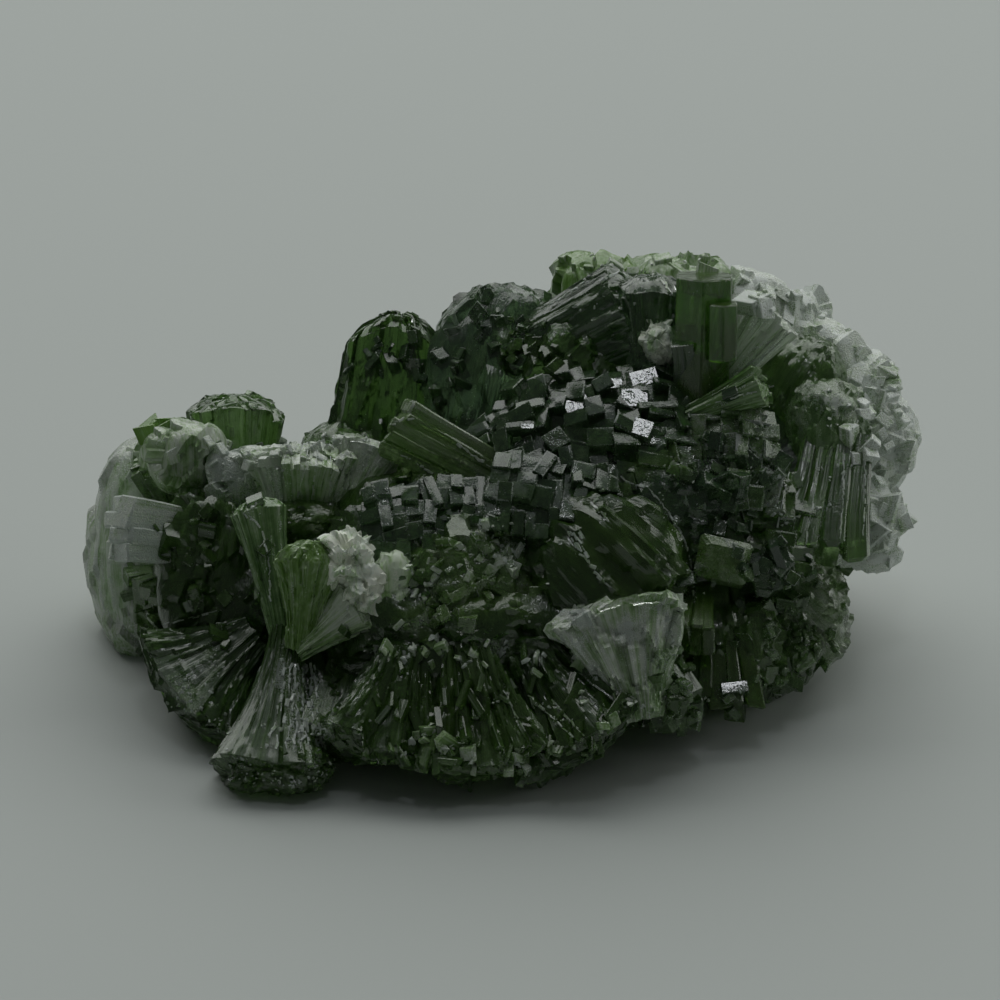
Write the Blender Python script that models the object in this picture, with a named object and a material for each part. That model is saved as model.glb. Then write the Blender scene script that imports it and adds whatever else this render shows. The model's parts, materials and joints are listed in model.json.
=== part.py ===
"""Prehnite cluster: fans of tabular crystals grown together in one piece.

Every crystal fan is a row of tapered blades that spread from a waist deep in
the specimen. The fans, one hexagonal prism and the massive middle are joined
in one solid, which is cut flat underneath, where it rests.
"""

import math
import random

import bmesh
import bpy
from mathutils import Matrix, Vector

NAME = "prehnite_cluster"
MM = 0.001
SEED = 7

# The block that everything below z = 0 is cut away with, in millimetres.
CUTTER_SIZE = (140.0, 100.0, 20.0)

# Shift in millimetres that centres the finished specimen over the origin.
CENTRE_SHIFT = Vector((0.4, 0.1, 0.0))

# Crystals of the show side are laid out on a plane that leans back by this
# angle from upright: right, up along the plane, and behind it.
LAYOUT_LEAN = math.radians(27.0)

# How the blades of one fan differ.
LENGTH_JITTER = 0.05
WIDTH_JITTER = 0.10
TILT_JITTER = math.radians(3.0)
END_SLOPE = 0.22
BLADE_OVERLAP = 1.15

# Upright hexagonal prism, in layout millimetres.
PRISM_BASE = (16.9, 21.0, -10.0)
PRISM_TOP = (17.3, 32.6, -12.5)
PRISM_RADIUS = 2.6

# Massive middle of the specimen: centre and half sizes, in millimetres.
MIDDLES = {
    "left": ((-19.5, 0.0, 6.5), (9.0, 10.5, 7.5)),
    "waist": ((-4.0, 1.0, 8.5), (14.0, 12.5, 11.0)),
    "front": ((0.5, -9.0, 7.0), (15.0, 7.5, 7.0)),
    "right": ((12.5, 4.0, 11.5), (12.5, 12.0, 13.0)),
}

# Fans of the show side, in layout millimetres: middle of the waist, middle
# of the rim, direction of the spread, half spread in degrees, width of the
# waist, width of the plates, number of blades.
SHOW_FANS = {
    # bow tie at the front left
    "skirt": ((-17.8, 2.5, -13.5), (-18.6, -10.6, -20.0), (1, 0, 0), 17, 3.5, 6.0, 4),
    "leaf": ((-17.0, 1.5, -16.0), (-15.4, 9.3, -15.0), (1, 0, 0), 16, 1.5, 3.0, 2),
    "column": ((-19.0, 1.0, -14.5), (-20.0, 12.0, -11.5), (1, 0, 0), 8, 1.8, 4.5, 2),
    "sticks": ((-17.0, 1.0, -16.0), (-12.2, 5.2, -15.0), (-0.7, 0.7, 0), 7, 2.2, 3.5, 2),
    "left_skirt": ((-20.0, 2.0, -10.5), (-28.4, -3.6, -10.5), (0.5, -0.7, -0.4), 36, 4.0, 6.5, 4),
    # left end
    "grey_block": ((-23.5, 10.5, -5.0), (-32.2, 11.5, -8.5), (0, 1, 0), 4, 4.2, 4.5, 2),
    "left_lobe": ((-26.0, 10.5, 4.5), (-34.2, 10.5, 5.5), (0, 1, 0), 62, 5.0, 10.0, 5),
    "left_green": ((-27.5, 11.0, 0.0), (-29.2, 18.0, -1.0), (1, 0, 0), 16, 2.5, 5.0, 2),
    "left_tip": ((-27.5, 13.0, 4.0), (-28.8, 20.0, 4.0), (1, 0, 0), 8, 2.0, 3.5, 2),
    "pale_ridge": ((-23.0, 10.0, -3.0), (-23.5, 18.8, -2.5), (1, 0, 0), 16, 3.0, 5.5, 2),
    "pale_points": ((-26.0, 11.0, 1.0), (-26.8, 19.5, 1.0), (1, 0, 0), 15, 3.0, 4.5, 2),
    "rear_left": ((-22.5, 12.0, 7.0), (-22.7, 22.4, 7.0), (1, 0, 0), 20, 4.5, 8.5, 3),
    "left_hollow": ((-20.0, 5.0, -8.0), (-25.5, 6.0, -8.0), (0, 1, 0), 30, 5.0, 6.0, 2),
    # ridge from left to the middle
    "ridge": ((-17.0, 9.0, -9.0), (-17.2, 18.2, -8.0), (1, 0, 0), 15, 5.0, 7.0, 3),
    "bowl": ((-14.0, 11.5, -9.5), (-10.8, 19.8, -7.0), (0.9, -0.4, 0), 20, 2.0, 5.0, 2),
    "slanting_prisms": ((0.5, 12.0, -7.0), (-8.4, 19.3, -5.5), (0.6, 0.8, 0), 8, 4.5, 7.0, 2),
    # tall rear crest
    "crest_low": ((-10.5, 14.0, 4.0), (-14.4, 22.3, 4.0), (1, 0, 0), 14, 4.0, 8.0, 2),
    "crest_left": ((-8.5, 16.0, 3.0), (-9.4, 29.0, 4.0), (1, 0, 0), 20, 5.5, 9.5, 3),
    "crest_mid": ((-3.0, 16.0, 0.5), (-1.0, 31.0, 2.0), (1, 0, 0), 16, 6.0, 9.5, 3),
    "sheaf": ((3.5, 20.0, -5.0), (9.6, 32.4, -4.5), (0.9, -0.4, 0), 20, 7.0, 9.5, 3),
    "sheaf_right": ((11.5, 20.0, -6.5), (12.3, 31.4, -5.5), (1, 0, 0), 12, 3.5, 7.0, 2),
    "crown_left": ((8.0, 23.0, 5.0), (7.8, 34.8, 6.0), (1, 0, 0), 14, 4.5, 6.0, 2),
    "crown_right": ((14.5, 23.0, 5.5), (14.8, 34.5, 6.5), (1, 0, 0), 16, 5.0, 6.0, 2),
    "prism_foot": ((15.4, 20.0, -8.5), (15.4, 27.8, -11.5), (1, 0, 0), 5, 3.2, 5.0, 2),
    "pale_rear": ((20.0, 20.0, 5.0), (21.8, 32.4, 6.5), (1, 0, 0), 15, 5.0, 7.0, 2),
    "pale_corner": ((22.0, 19.0, 5.0), (26.2, 30.6, 6.5), (0.9, -0.3, 0), 12, 4.0, 6.0, 2),
    # right shoulder
    "grey_wedge": ((18.5, 20.5, -5.5), (23.6, 29.2, -6.0), (0.8, -0.6, 0), 15, 2.5, 5.0, 2),
    "short_blades": ((17.5, 19.0, -6.5), (22.6, 24.6, -9.5), (0.7, -0.7, 0), 12, 2.5, 5.0, 2),
    "shoulder": ((22.0, 16.0, -4.5), (27.4, 25.9, -6.0), (0.9, -0.4, 0), 26, 3.5, 8.0, 3),
    "pale_shoulder": ((24.0, 17.0, 3.0), (31.2, 27.2, 4.5), (0.8, -0.6, 0), 16, 4.0, 7.0, 2),
    "pale_end_high": ((24.0, 17.0, 1.0), (33.2, 23.4, 3.0), (-0.5, 0.9, 0), 11, 4.0, 6.5, 2),
    "pale_end_mid": ((24.0, 16.5, 1.5), (34.2, 17.8, 2.5), (0, 1, 0), 15, 4.5, 8.0, 2),
    "pale_end_low": ((24.0, 12.5, -0.5), (33.0, 11.5, 0.5), (0, 1, 0), 16, 4.0, 8.0, 2),
    # stepped top of the right half
    "mosaic": ((8.5, 14.0, 2.0), (9.0, 22.0, -12.5), (1, 0, 0), 22, 7.0, 9.5, 4),
    "mosaic_left": ((5.0, 13.0, 0.0), (1.0, 19.5, -11.5), (0.9, 0.4, 0), 20, 4.0, 8.5, 3),
    "sparkle": ((18.0, 15.5, -2.0), (18.6, 18.0, -12.3), (1, 0, 0), 14, 4.5, 8.0, 3),
    "frosted_dome": ((26.0, 15.0, -3.0), (27.6, 21.0, -9.5), (1, 0, 0), 22, 4.0, 7.0, 3),
    "right_fan": ((27.0, 19.0, -6.5), (26.6, 9.2, -10.0), (1, 0, 0), 13, 4.5, 7.0, 3),
    "inner_right": ((20.0, 10.0, -4.0), (20.5, 13.5, -12.0), (1, 0, 0), 22, 5.0, 8.0, 2),
    # rounded fans of the front
    "green_dome": ((2.5, 12.5, -12.0), (14.6, 8.6, -19.5), (0.35, 0.9, 0), 21, 7.0, 9.0, 4),
    "green_dome_top": ((5.0, 7.0, -8.0), (4.5, 14.5, -16.0), (1, 0, 0), 20, 5.0, 8.0, 2),
    "petal": ((14.3, 4.6, -17.5), (8.6, -1.2, -21.0), (-0.7, 0.7, 0), 36, 2.5, 4.5, 4),
    "mottled_dome": ((-3.5, 4.0, -6.0), (-3.5, 6.0, -19.5), (1, 0, 0), 26, 6.0, 11.0, 4),
    "mottled_top": ((-4.0, 5.0, -8.0), (-5.5, 12.5, -15.5), (1, 0, 0), 24, 5.0, 7.0, 2),
    "crust": ((-8.0, 6.0, -10.0), (-13.0, 7.8, -16.5), (0, 1, 0), 24, 3.0, 6.0, 2),
    # lower front
    "foot_left": ((-7.0, 2.0, -11.0), (-9.6, -8.0, -16.0), (1, 0, 0), 24, 5.0, 7.0, 3),
    "foot_mid": ((-1.5, 2.0, -11.0), (-0.6, -8.8, -17.5), (1, 0, 0), 20, 5.0, 7.0, 3),
    "foot_right": ((3.5, 1.5, -12.0), (8.4, -6.8, -18.0), (0.8, 0.6, 0), 22, 6.0, 7.0, 3),
    "foot_gap": ((-12.0, 1.5, -11.5), (-13.4, -7.0, -15.5), (1, 0, 0), 14, 3.0, 5.0, 2),
    "foot_thin": ((12.0, 2.5, -13.5), (14.0, -3.6, -18.5), (1, 0, 0), 8, 2.0, 5.0, 2),
    "olive_fan": ((18.0, 7.0, -10.0), (18.4, -4.0, -15.0), (1, 0, 0), 10, 3.2, 6.0, 3),
    "olive_blade": ((15.8, 7.0, -13.0), (16.4, 1.2, -18.0), (1, 0, 0), 7, 2.0, 4.0, 2),
    "small_block": ((18.6, 4.0, -11.0), (18.6, 10.2, -16.5), (1, 0, 0), 4, 3.2, 5.0, 2),
    "low_right": ((20.0, 4.5, -4.0), (28.6, 4.5, -5.0), (0, 1, 0), 32, 5.0, 8.0, 3),
    "low_front": ((19.5, 5.0, -6.0), (22.6, -2.4, -8.5), (1, 0, 0), 20, 4.0, 7.0, 2),
}

# Fans of the rear and the ends, the same way but in upright millimetres.
REAR_FANS = {
    "rear_low_left": ((-17.0, 8.0, 8.0), (-24.0, 17.5, 4.0), (1, 0.4, 0), 28, 6.0, 8.0, 3),
    "rear_left_mid": ((-12.0, 8.0, 9.0), (-14.0, 20.5, 8.0), (1, 0, 0), 22, 6.0, 10.0, 3),
    "rear_mid_low": ((-3.0, 8.0, 9.0), (-4.0, 21.5, 5.0), (1, 0, 0), 22, 7.0, 9.0, 3),
    "rear_mid_high": ((2.0, 8.0, 13.0), (3.0, 22.0, 16.0), (1, 0, 0), 24, 7.0, 11.0, 3),
    "rear_right_low": ((9.0, 8.0, 10.0), (11.0, 22.0, 5.5), (1, 0, 0), 24, 7.0, 10.0, 3),
    "rear_right_high": ((13.0, 9.0, 14.0), (15.5, 22.5, 15.5), (1, 0, 0), 22, 7.0, 11.0, 3),
    "rear_corner": ((18.0, 9.0, 10.0), (27.0, 18.0, 10.0), (1, -0.6, 0), 26, 6.0, 10.0, 3),
    "right_low": ((19.0, 6.0, 9.0), (27.5, 8.0, 4.0), (0, 1, 0), 24, 5.0, 6.0, 2),
    "left_low": ((-22.0, 3.0, 7.0), (-31.0, 0.0, 4.5), (0, 1, 0), 26, 5.0, 7.0, 2),
}


def clear_scene():
    """Remove whatever the scene holds."""
    for item in list(bpy.data.objects):
        bpy.data.objects.remove(item)


def new_collection(name):
    """Add a collection to the scene."""
    made = bpy.data.collections.new(name)
    bpy.context.scene.collection.children.link(made)
    return made


def new_object(name, shape, collection):
    """Turn a bmesh into an object of the given collection."""
    mesh = bpy.data.meshes.new(name)
    shape.to_mesh(mesh)
    shape.free()
    made = bpy.data.objects.new(name, mesh)
    collection.objects.link(made)
    return made


def stone_material():
    """Dark green, slightly waxy prehnite."""
    material = bpy.data.materials.new("prehnite_green")
    material.use_nodes = True
    shader = material.node_tree.nodes["Principled BSDF"]
    shader.inputs["Base Color"].default_value = (0.055, 0.095, 0.05, 1.0)
    shader.inputs["Roughness"].default_value = 0.38
    shader.inputs["Metallic"].default_value = 0.0
    return material


def upright(point):
    """A point or direction that is already given upright."""
    return Vector(point)


def from_layout(point):
    """Turn a layout point or direction (right, up, back) upright."""
    right, up, back = point
    depth = up * math.sin(LAYOUT_LEAN) + back * math.cos(LAYOUT_LEAN)
    height = up * math.cos(LAYOUT_LEAN) - back * math.sin(LAYOUT_LEAN)
    return Vector((right, depth, height))


def tapered_blade(length, waist_size, rim_size, end_slope):
    """A box that widens from its waist (at the origin) to its rim along +Z."""
    blade = bmesh.new()
    bmesh.ops.create_cube(blade, size=1.0)
    for vert in blade.verts:
        at_rim = vert.co.z > 0
        size = rim_size if at_rim else waist_size
        height = length + end_slope * vert.co.y * size[1] if at_rim else 0.0
        vert.co = Vector((vert.co.x * size[0], vert.co.y * size[1], height))
    return blade


def fan_blades(name, spec, turn_upright, rng, collection):
    """Spread the blades of one crystal fan from its waist to its rim."""
    waist, rim, across, half_spread, waist_width, plate_width, count = spec
    waist = turn_upright(waist)
    reach = turn_upright(rim) - waist
    aim = reach.normalized()
    plate = aim.cross(turn_upright(across)).normalized()
    side = plate.cross(aim).normalized()
    half_angle = math.radians(half_spread)
    rim_pitch = 2.0 * reach.length * math.sin(half_angle) / count
    for index in range(count):
        share = 2.0 * (index + 0.5) / count - 1.0
        angle = half_angle * share
        foot = waist + side * (0.5 * waist_width * share)
        end = waist + reach.length * (aim * math.cos(angle) + side * math.sin(angle))
        along = end - foot
        length = along.length * (1.0 + LENGTH_JITTER * rng.uniform(-1.0, 0.4))
        width = plate_width * (1.0 + WIDTH_JITTER * rng.uniform(-1.0, 1.0))
        blade = tapered_blade(
            length,
            (BLADE_OVERLAP * waist_width / count, width * 0.75),
            (BLADE_OVERLAP * rim_pitch, width),
            END_SLOPE * rng.uniform(-1.0, 1.0),
        )
        axis = along.normalized()
        across_blade = plate.cross(axis).normalized()
        axes = Matrix((across_blade, plate, axis)).transposed()
        tilt = Matrix.Rotation(TILT_JITTER * rng.uniform(-1.0, 1.0), 3, across_blade)
        place = Matrix.Translation(foot + CENTRE_SHIFT) @ (tilt @ axes).to_4x4()
        blade.transform(Matrix.Scale(MM, 4) @ place)
        bmesh.ops.recalc_face_normals(blade, faces=blade.faces)
        new_object(f"{name}_{index}", blade, collection)


def prism(collection):
    """The upright hexagonal prism."""
    base = from_layout(PRISM_BASE) + CENTRE_SHIFT
    top = from_layout(PRISM_TOP) + CENTRE_SHIFT
    axis = top - base
    shape = bmesh.new()
    bmesh.ops.create_cone(
        shape, cap_ends=True, segments=6, radius1=PRISM_RADIUS,
        radius2=PRISM_RADIUS, depth=axis.length,
    )
    turn = axis.to_track_quat("Z", "Y").to_matrix().to_4x4()
    place = Matrix.Translation((base + top) / 2.0) @ turn
    shape.transform(Matrix.Scale(MM, 4) @ place)
    return new_object("prism", shape, collection)


def middle(name, collection):
    """A rounded mass that the fans grow from."""
    centre, half_sizes = MIDDLES[name]
    shape = bmesh.new()
    bmesh.ops.create_icosphere(shape, subdivisions=2, radius=1.0)
    place = Matrix.Translation(Vector(centre) + CENTRE_SHIFT)
    shape.transform(Matrix.Scale(MM, 4) @ place @ Matrix.Diagonal((*half_sizes, 1.0)))
    return new_object(f"middle_{name}", shape, collection)


def ground_cutter(collection):
    """A block that fills the space below the plane the specimen rests on."""
    shape = bmesh.new()
    bmesh.ops.create_cube(shape, size=1.0)
    place = Matrix.Translation((0.0, 0.0, -CUTTER_SIZE[2] / 2.0))
    shape.transform(Matrix.Scale(MM, 4) @ place @ Matrix.Diagonal((*CUTTER_SIZE, 1.0)))
    return new_object("ground_cutter", shape, collection)


def hide(item):
    """Show a guide or cutter as wire only."""
    item.hide_render = True
    item.display_type = "WIRE"


def outer_shell_only(item):
    """Drop the walls of gaps sealed inside the joined crystals."""
    shape = bmesh.new()
    shape.from_mesh(item.data)
    unseen = set(shape.verts)
    shells = []
    while unseen:
        start = unseen.pop()
        shell = {start}
        border = [start]
        while border:
            vert = border.pop()
            for edge in vert.link_edges:
                other = edge.other_vert(vert)
                if other in unseen:
                    unseen.discard(other)
                    shell.add(other)
                    border.append(other)
        shells.append(shell)
    outer = max(shells, key=lambda shell: max(vert.co.z for vert in shell))
    inner = [vert for shell in shells if shell is not outer for vert in shell]
    bmesh.ops.delete(shape, geom=inner, context="VERTS")
    shape.to_mesh(item.data)
    shape.free()


def settle_modifiers(item):
    """Replace the object's mesh with the result of its modifiers."""
    graph = bpy.context.evaluated_depsgraph_get()
    item.data = bpy.data.meshes.new_from_object(item.evaluated_get(graph))
    item.modifiers.clear()


def grow_together(target, crystals, solver="EXACT"):
    """Join the target with all crystals of a collection."""
    boolean = target.modifiers.new("grow_together", "BOOLEAN")
    boolean.operation = "UNION"
    boolean.solver = solver
    boolean.operand_type = "COLLECTION"
    boolean.collection = crystals


def cut_flat(target, cutter, solver="EXACT"):
    """Cut the target flat where it rests."""
    boolean = target.modifiers.new("flat_underside", "BOOLEAN")
    boolean.operation = "DIFFERENCE"
    boolean.solver = solver
    boolean.object = cutter


def build():
    """Model the specimen as one solid."""
    clear_scene()
    specimen = new_collection(NAME)
    crystals = new_collection("crystals")
    cutters = new_collection("cutters")
    rng = random.Random(SEED)
    for name, spec in SHOW_FANS.items():
        fan_blades(name, spec, from_layout, rng, crystals)
    for name, spec in REAR_FANS.items():
        fan_blades(name, spec, upright, rng, crystals)
    prism(crystals)
    for name in ("left", "front", "right"):
        middle(name, crystals)
    body = middle("waist", specimen)
    body.name = NAME
    body.data.materials.append(stone_material())
    cutter = ground_cutter(cutters)
    for item in list(crystals.objects) + [cutter]:
        hide(item)
    grow_together(body, crystals)
    settle_modifiers(body)
    outer_shell_only(body)
    cut_flat(body, cutter)


build()
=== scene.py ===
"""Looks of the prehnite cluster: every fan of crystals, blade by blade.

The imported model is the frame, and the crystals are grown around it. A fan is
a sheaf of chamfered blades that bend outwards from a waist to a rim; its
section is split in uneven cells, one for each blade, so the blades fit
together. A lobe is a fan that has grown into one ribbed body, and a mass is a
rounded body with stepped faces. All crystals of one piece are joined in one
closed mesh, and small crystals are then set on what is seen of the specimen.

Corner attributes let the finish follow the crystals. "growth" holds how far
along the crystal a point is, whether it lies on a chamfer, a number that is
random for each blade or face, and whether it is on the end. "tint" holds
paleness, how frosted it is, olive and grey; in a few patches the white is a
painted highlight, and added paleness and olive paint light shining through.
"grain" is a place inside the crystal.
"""
import json
import math
import random
from dataclasses import dataclass, field

import bmesh
import bpy
import numpy as np
from mathutils import Matrix, Vector
from mathutils.bvhtree import BVHTree
from mathutils.kdtree import KDTree

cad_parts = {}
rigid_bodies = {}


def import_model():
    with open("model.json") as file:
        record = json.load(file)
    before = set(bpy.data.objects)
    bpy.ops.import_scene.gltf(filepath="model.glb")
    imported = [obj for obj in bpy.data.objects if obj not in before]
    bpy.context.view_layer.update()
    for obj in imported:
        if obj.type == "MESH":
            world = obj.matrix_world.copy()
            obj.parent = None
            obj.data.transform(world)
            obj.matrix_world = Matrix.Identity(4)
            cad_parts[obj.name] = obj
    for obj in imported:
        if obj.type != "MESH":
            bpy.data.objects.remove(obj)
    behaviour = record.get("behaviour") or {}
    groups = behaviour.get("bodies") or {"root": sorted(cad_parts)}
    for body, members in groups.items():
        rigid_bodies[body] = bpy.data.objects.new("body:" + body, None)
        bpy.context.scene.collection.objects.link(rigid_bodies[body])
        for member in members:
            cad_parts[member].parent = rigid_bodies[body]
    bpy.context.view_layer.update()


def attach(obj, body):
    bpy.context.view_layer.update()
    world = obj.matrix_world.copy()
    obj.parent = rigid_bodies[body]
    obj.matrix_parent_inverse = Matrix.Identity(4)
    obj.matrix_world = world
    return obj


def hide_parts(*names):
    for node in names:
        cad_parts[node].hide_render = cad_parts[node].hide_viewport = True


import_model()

MM = 0.001
NODE = "prehnite_cluster"

# Crystals of the show side are laid out on a plane that leans back from
# upright: right, up along the plane, and behind it, in millimetres.
LAYOUT_LEAN = math.radians(27.0)
CENTRE_SHIFT = Vector((0.4, 0.1, 0.0))

# Camera: long lens, square to the plane that the crystals are laid out on.
LENS_MM = 180.0
SENSOR_MM = 36.0
FRAME_WIDTH = 0.084
AIM_POINT = (-0.3, 13.87, 0.0)
CAMERA_DISTANCE = FRAME_WIDTH * LENS_MM / SENSOR_MM
CLIP_START = 0.01

GLINT_PLACE = (0.04, -0.12, 0.95)

X_AXIS = (1, 0, 0)
UP = (0, 1, 0)

# Looks of the crystals: paleness, frost, olive, grey.
LOOKS = {
    "deep": (0.10, 0.06, 0.25, 0.10),
    "slate": (0.16, 0.16, 0.05, 0.75),
    "green": (0.30, 0.12, 0.35, 0.15),
    "olive": (0.45, 0.05, 0.90, 0.00),
    "leafy": (0.58, 0.10, 0.55, 0.00),
    "misty": (0.45, 0.40, 0.15, 0.30),
    "pale": (0.78, 0.25, 0.25, 0.10),
    "milky": (0.92, 0.55, 0.05, 0.10),
    "white": (1.00, 0.95, 0.00, 0.05),
}
LOOK_SPREAD = 0.07


@dataclass
class Fan:
    """One sheaf of crystals, laid out in millimetres and degrees.

    Spread and flare are half angles across and through the fan, size is its
    waist, and grid is about how many blades there are across and through it.
    """

    waist: tuple
    rim: tuple
    across: tuple
    spread: float
    flare: float
    size: tuple
    grid: tuple
    look: str
    curl: float = 0.5
    jitter: float = 0.03
    tilt: float = 2.0
    slope: float = 0.2
    rounding: float = 0.08
    chamfer: float = 0.06
    step: float = 0.06
    uneven: float = 0.16
    turned_upright: bool = False


@dataclass
class Lobe:
    """One fan whose crystals have grown into a single ribbed body.

    Ribs are their count and depth. Each entry of faces is the size of a face
    across and along the crystals, and how far the faces stand out.
    """

    waist: tuple
    rim: tuple
    across: tuple
    spread: float
    flare: float
    size: tuple
    look: str
    faces: tuple
    ribs: tuple = (24, 0.15)
    curl: float = 0.5
    rounding: float = 0.12
    backing: float = 1.0
    squareness: float = 3.0
    turned_upright: bool = False


@dataclass
class Mass:
    """A rounded body of tightly grown crystals, with stepped faces all over."""

    centre: tuple
    half_sizes: tuple
    look: str
    along: tuple = UP
    faces: tuple = field(kw_only=True)
    squareness: float = 2.5
    fullness: float = 0.0
    turn: float = 0.0
    detail: int = 5
    turned_upright: bool = False


# What several crystals share.
REAR_FAN = {"tilt": 10, "slope": 0.5, "uneven": 0.3, "jitter": 0.06, "turned_upright": True}
MOSAIC = {"slope": 0.35, "uneven": 0.28, "chamfer": 0.05}
FOOT_LOBE = {"ribs": (15, 0.8), "rounding": 0.1, "faces": ((1.1, 6, 0.4), (0.5, 1.2, 0.12))}
CORE = {"detail": 6, "turned_upright": True}
BROKEN = ((3, 4, 0.9), (1.3, 2.2, 0.2))
CROWN = ((2.6, 4, 0.9), (1.1, 2, 0.2))

# Crystals of each piece, by name: waist, rim, direction across, spread, flare,
# size, grid and look of a fan, the same without grid for a lobe, and centre,
# half sizes and look for a mass.
LEFT = {
    "block_root": Fan((-21, 10.5, -3), (-27, 11.2, -6.3), UP, 3, 2, (4.4, 4.6), (3, 2), "slate",
        jitter=0.04),
    "left_green": Fan((-26.6, 11, 0.5), (-28.2, 17.6, -1), X_AXIS, 14, 6, (3, 4.5), (6, 5), "green",
        tilt=7, jitter=0.06),
    "foot_gap": Fan((-12, 1.5, -11.5), (-13.4, -6.6, -16.5), X_AXIS, 12, 8, (3, 4.5), (5, 3),
        "deep"),
    "rear_left": Lobe((-22.9, 14.7, 7), (-23, 22.7, 6), X_AXIS, 7, 6, (6.6, 8), "deep",
        ribs=(20, 0.5), rounding=0.3, backing=0, faces=((1.4, 5, 0.3), (0.7, 1.6, 0.06))),
    "skirt": Lobe((-17.5, 3.2, -14), (-18.9, -9, -18.6), X_AXIS, 15.5, 10, (3, 3), "deep", curl=1,
        ribs=(30, 0.24), rounding=0.08, squareness=2.8, faces=((0.7, 7, 0.14), (0.35, 0.6, 0.04))),
    "skirt_side": Lobe((-15.8, 2, -13), (-14, -6.4, -16.4), X_AXIS, 7, 5, (1.8, 3), "deep",
        ribs=(16, 0.3), faces=((0.6, 3, 0.2),)),
    "left_skirt": Lobe((-20, 2.4, -10), (-27, -3.2, -11), (0.5, -0.7, -0.4), 34, 7, (4, 5), "deep",
        ribs=(40, 0.22), squareness=4, faces=((1.3, 4, 0.35), (0.6, 1.5, 0.06))),
    "skirt_druse": Mass((-18.1, -7.6, -18.4), (4.2, 2, 3), "green", squareness=3,
        faces=((0.9, 0.9, 0.5), (0.45, 0.45, 0.18))),
    "left_middle": Mass((-19.5, 2, 5.5), (9.4, 9.6, 6.6), "deep", faces=((3.2, 3.2, 0.8),
        (1.3, 1.3, 0.12)), **CORE),
    "hollow": Mass((-24.4, 7.8, -5), (4.3, 6.2, 5), "deep", (0.2, 1, 0), fullness=4.5,
        faces=((1.5, 2.2, 0.8), (0.7, 1.2, 0.1))),
    "shelf": Mass((-16.2, 11.7, -8), (3.7, 2.3, 4.6), "green", (1, 0.3, 0), faces=((1.6, 2.6, 0.4),
        (0.7, 1.2, 0.08))),
}

FRONT = {
    "slate_steps": Fan((-6.6, 8.4, -7), (-6.2, 11.9, -16), (1, 0.12, 0), 6, 14, (8.6, 4), (10, 6),
        "slate", jitter=0.06, tilt=16, slope=0.25, uneven=0.22, chamfer=0.04, step=0.12),
    "slate_back": Fan((-5, 9, -4), (-4.4, 13.9, -12.6), (1, -0.1, 0), 8, 12, (6.8, 3.8), (8, 5),
        "deep", jitter=0.05, tilt=14, slope=0.3, uneven=0.24, chamfer=0.04, step=0.15),
    "dome_plates": Fan((3.6, 9.8, -8), (4.6, 14.2, -17.2), (1, -0.15, 0), 9, 10, (9, 3.8), (10, 5),
        "slate", jitter=0.05, tilt=13, slope=0.2, uneven=0.24, chamfer=0.04, step=0.08),
    "foot_thin": Fan((12, 2.5, -13.5), (14, -3.6, -18.5), X_AXIS, 8, 4, (2, 4), (4, 3), "deep"),
    "foot_left": Lobe((-7.7, 1.4, -17), (-9.3, -7.3, -20), X_AXIS, 25, 3, (5, 4.4), "deep",
        **FOOT_LOBE),
    "foot_mid": Lobe((-2.9, 1.8, -17.6), (-0.9, -7.9, -20.8), X_AXIS, 17, 3, (4.4, 4.4), "green",
        **FOOT_LOBE),
    "foot_right": Lobe((2.5, 1.4, -17.4), (7.4, -6, -20.4), (0.85, 0.5, 0), 25, 3, (5, 4.4), "deep",
        **FOOT_LOBE),
    "waist_middle": Mass((-4, 1, 8.5), (14.4, 12.9, 10.4), "deep", faces=((3.2, 3.2, 0.8),
        (1.3, 1.3, 0.2)), **CORE),
    "front_middle": Mass((0.5, -9, 7), (15.4, 7.9, 7.4), "deep", faces=((3.2, 3.2, 1),
        (1.3, 1.3, 0.2)), **CORE),
    "mottled_dome": Mass((-2.2, 6, -10), (7.3, 7.2, 8.6), "green", (0.2, 0.3, -1),
        faces=((2.2, 2.2, 0.9), (0.9, 0.9, 0.14))),
    "mottled_top": Mass((-6.1, 10.1, -7), (4.8, 2.8, 7.6), "deep", (0.4, 0.3, -1),
        faces=((1.6, 2.4, 0.4), (0.7, 0.9, 0.08))),
    "green_dome": Mass((8, 8.2, -11), (7.1, 6.8, 8.6), "deep", (0.7, -0.7, 0), fullness=3, turn=-24,
        faces=((1.4, 9, 0.7), (0.6, 4, 0.12))),
}

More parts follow.
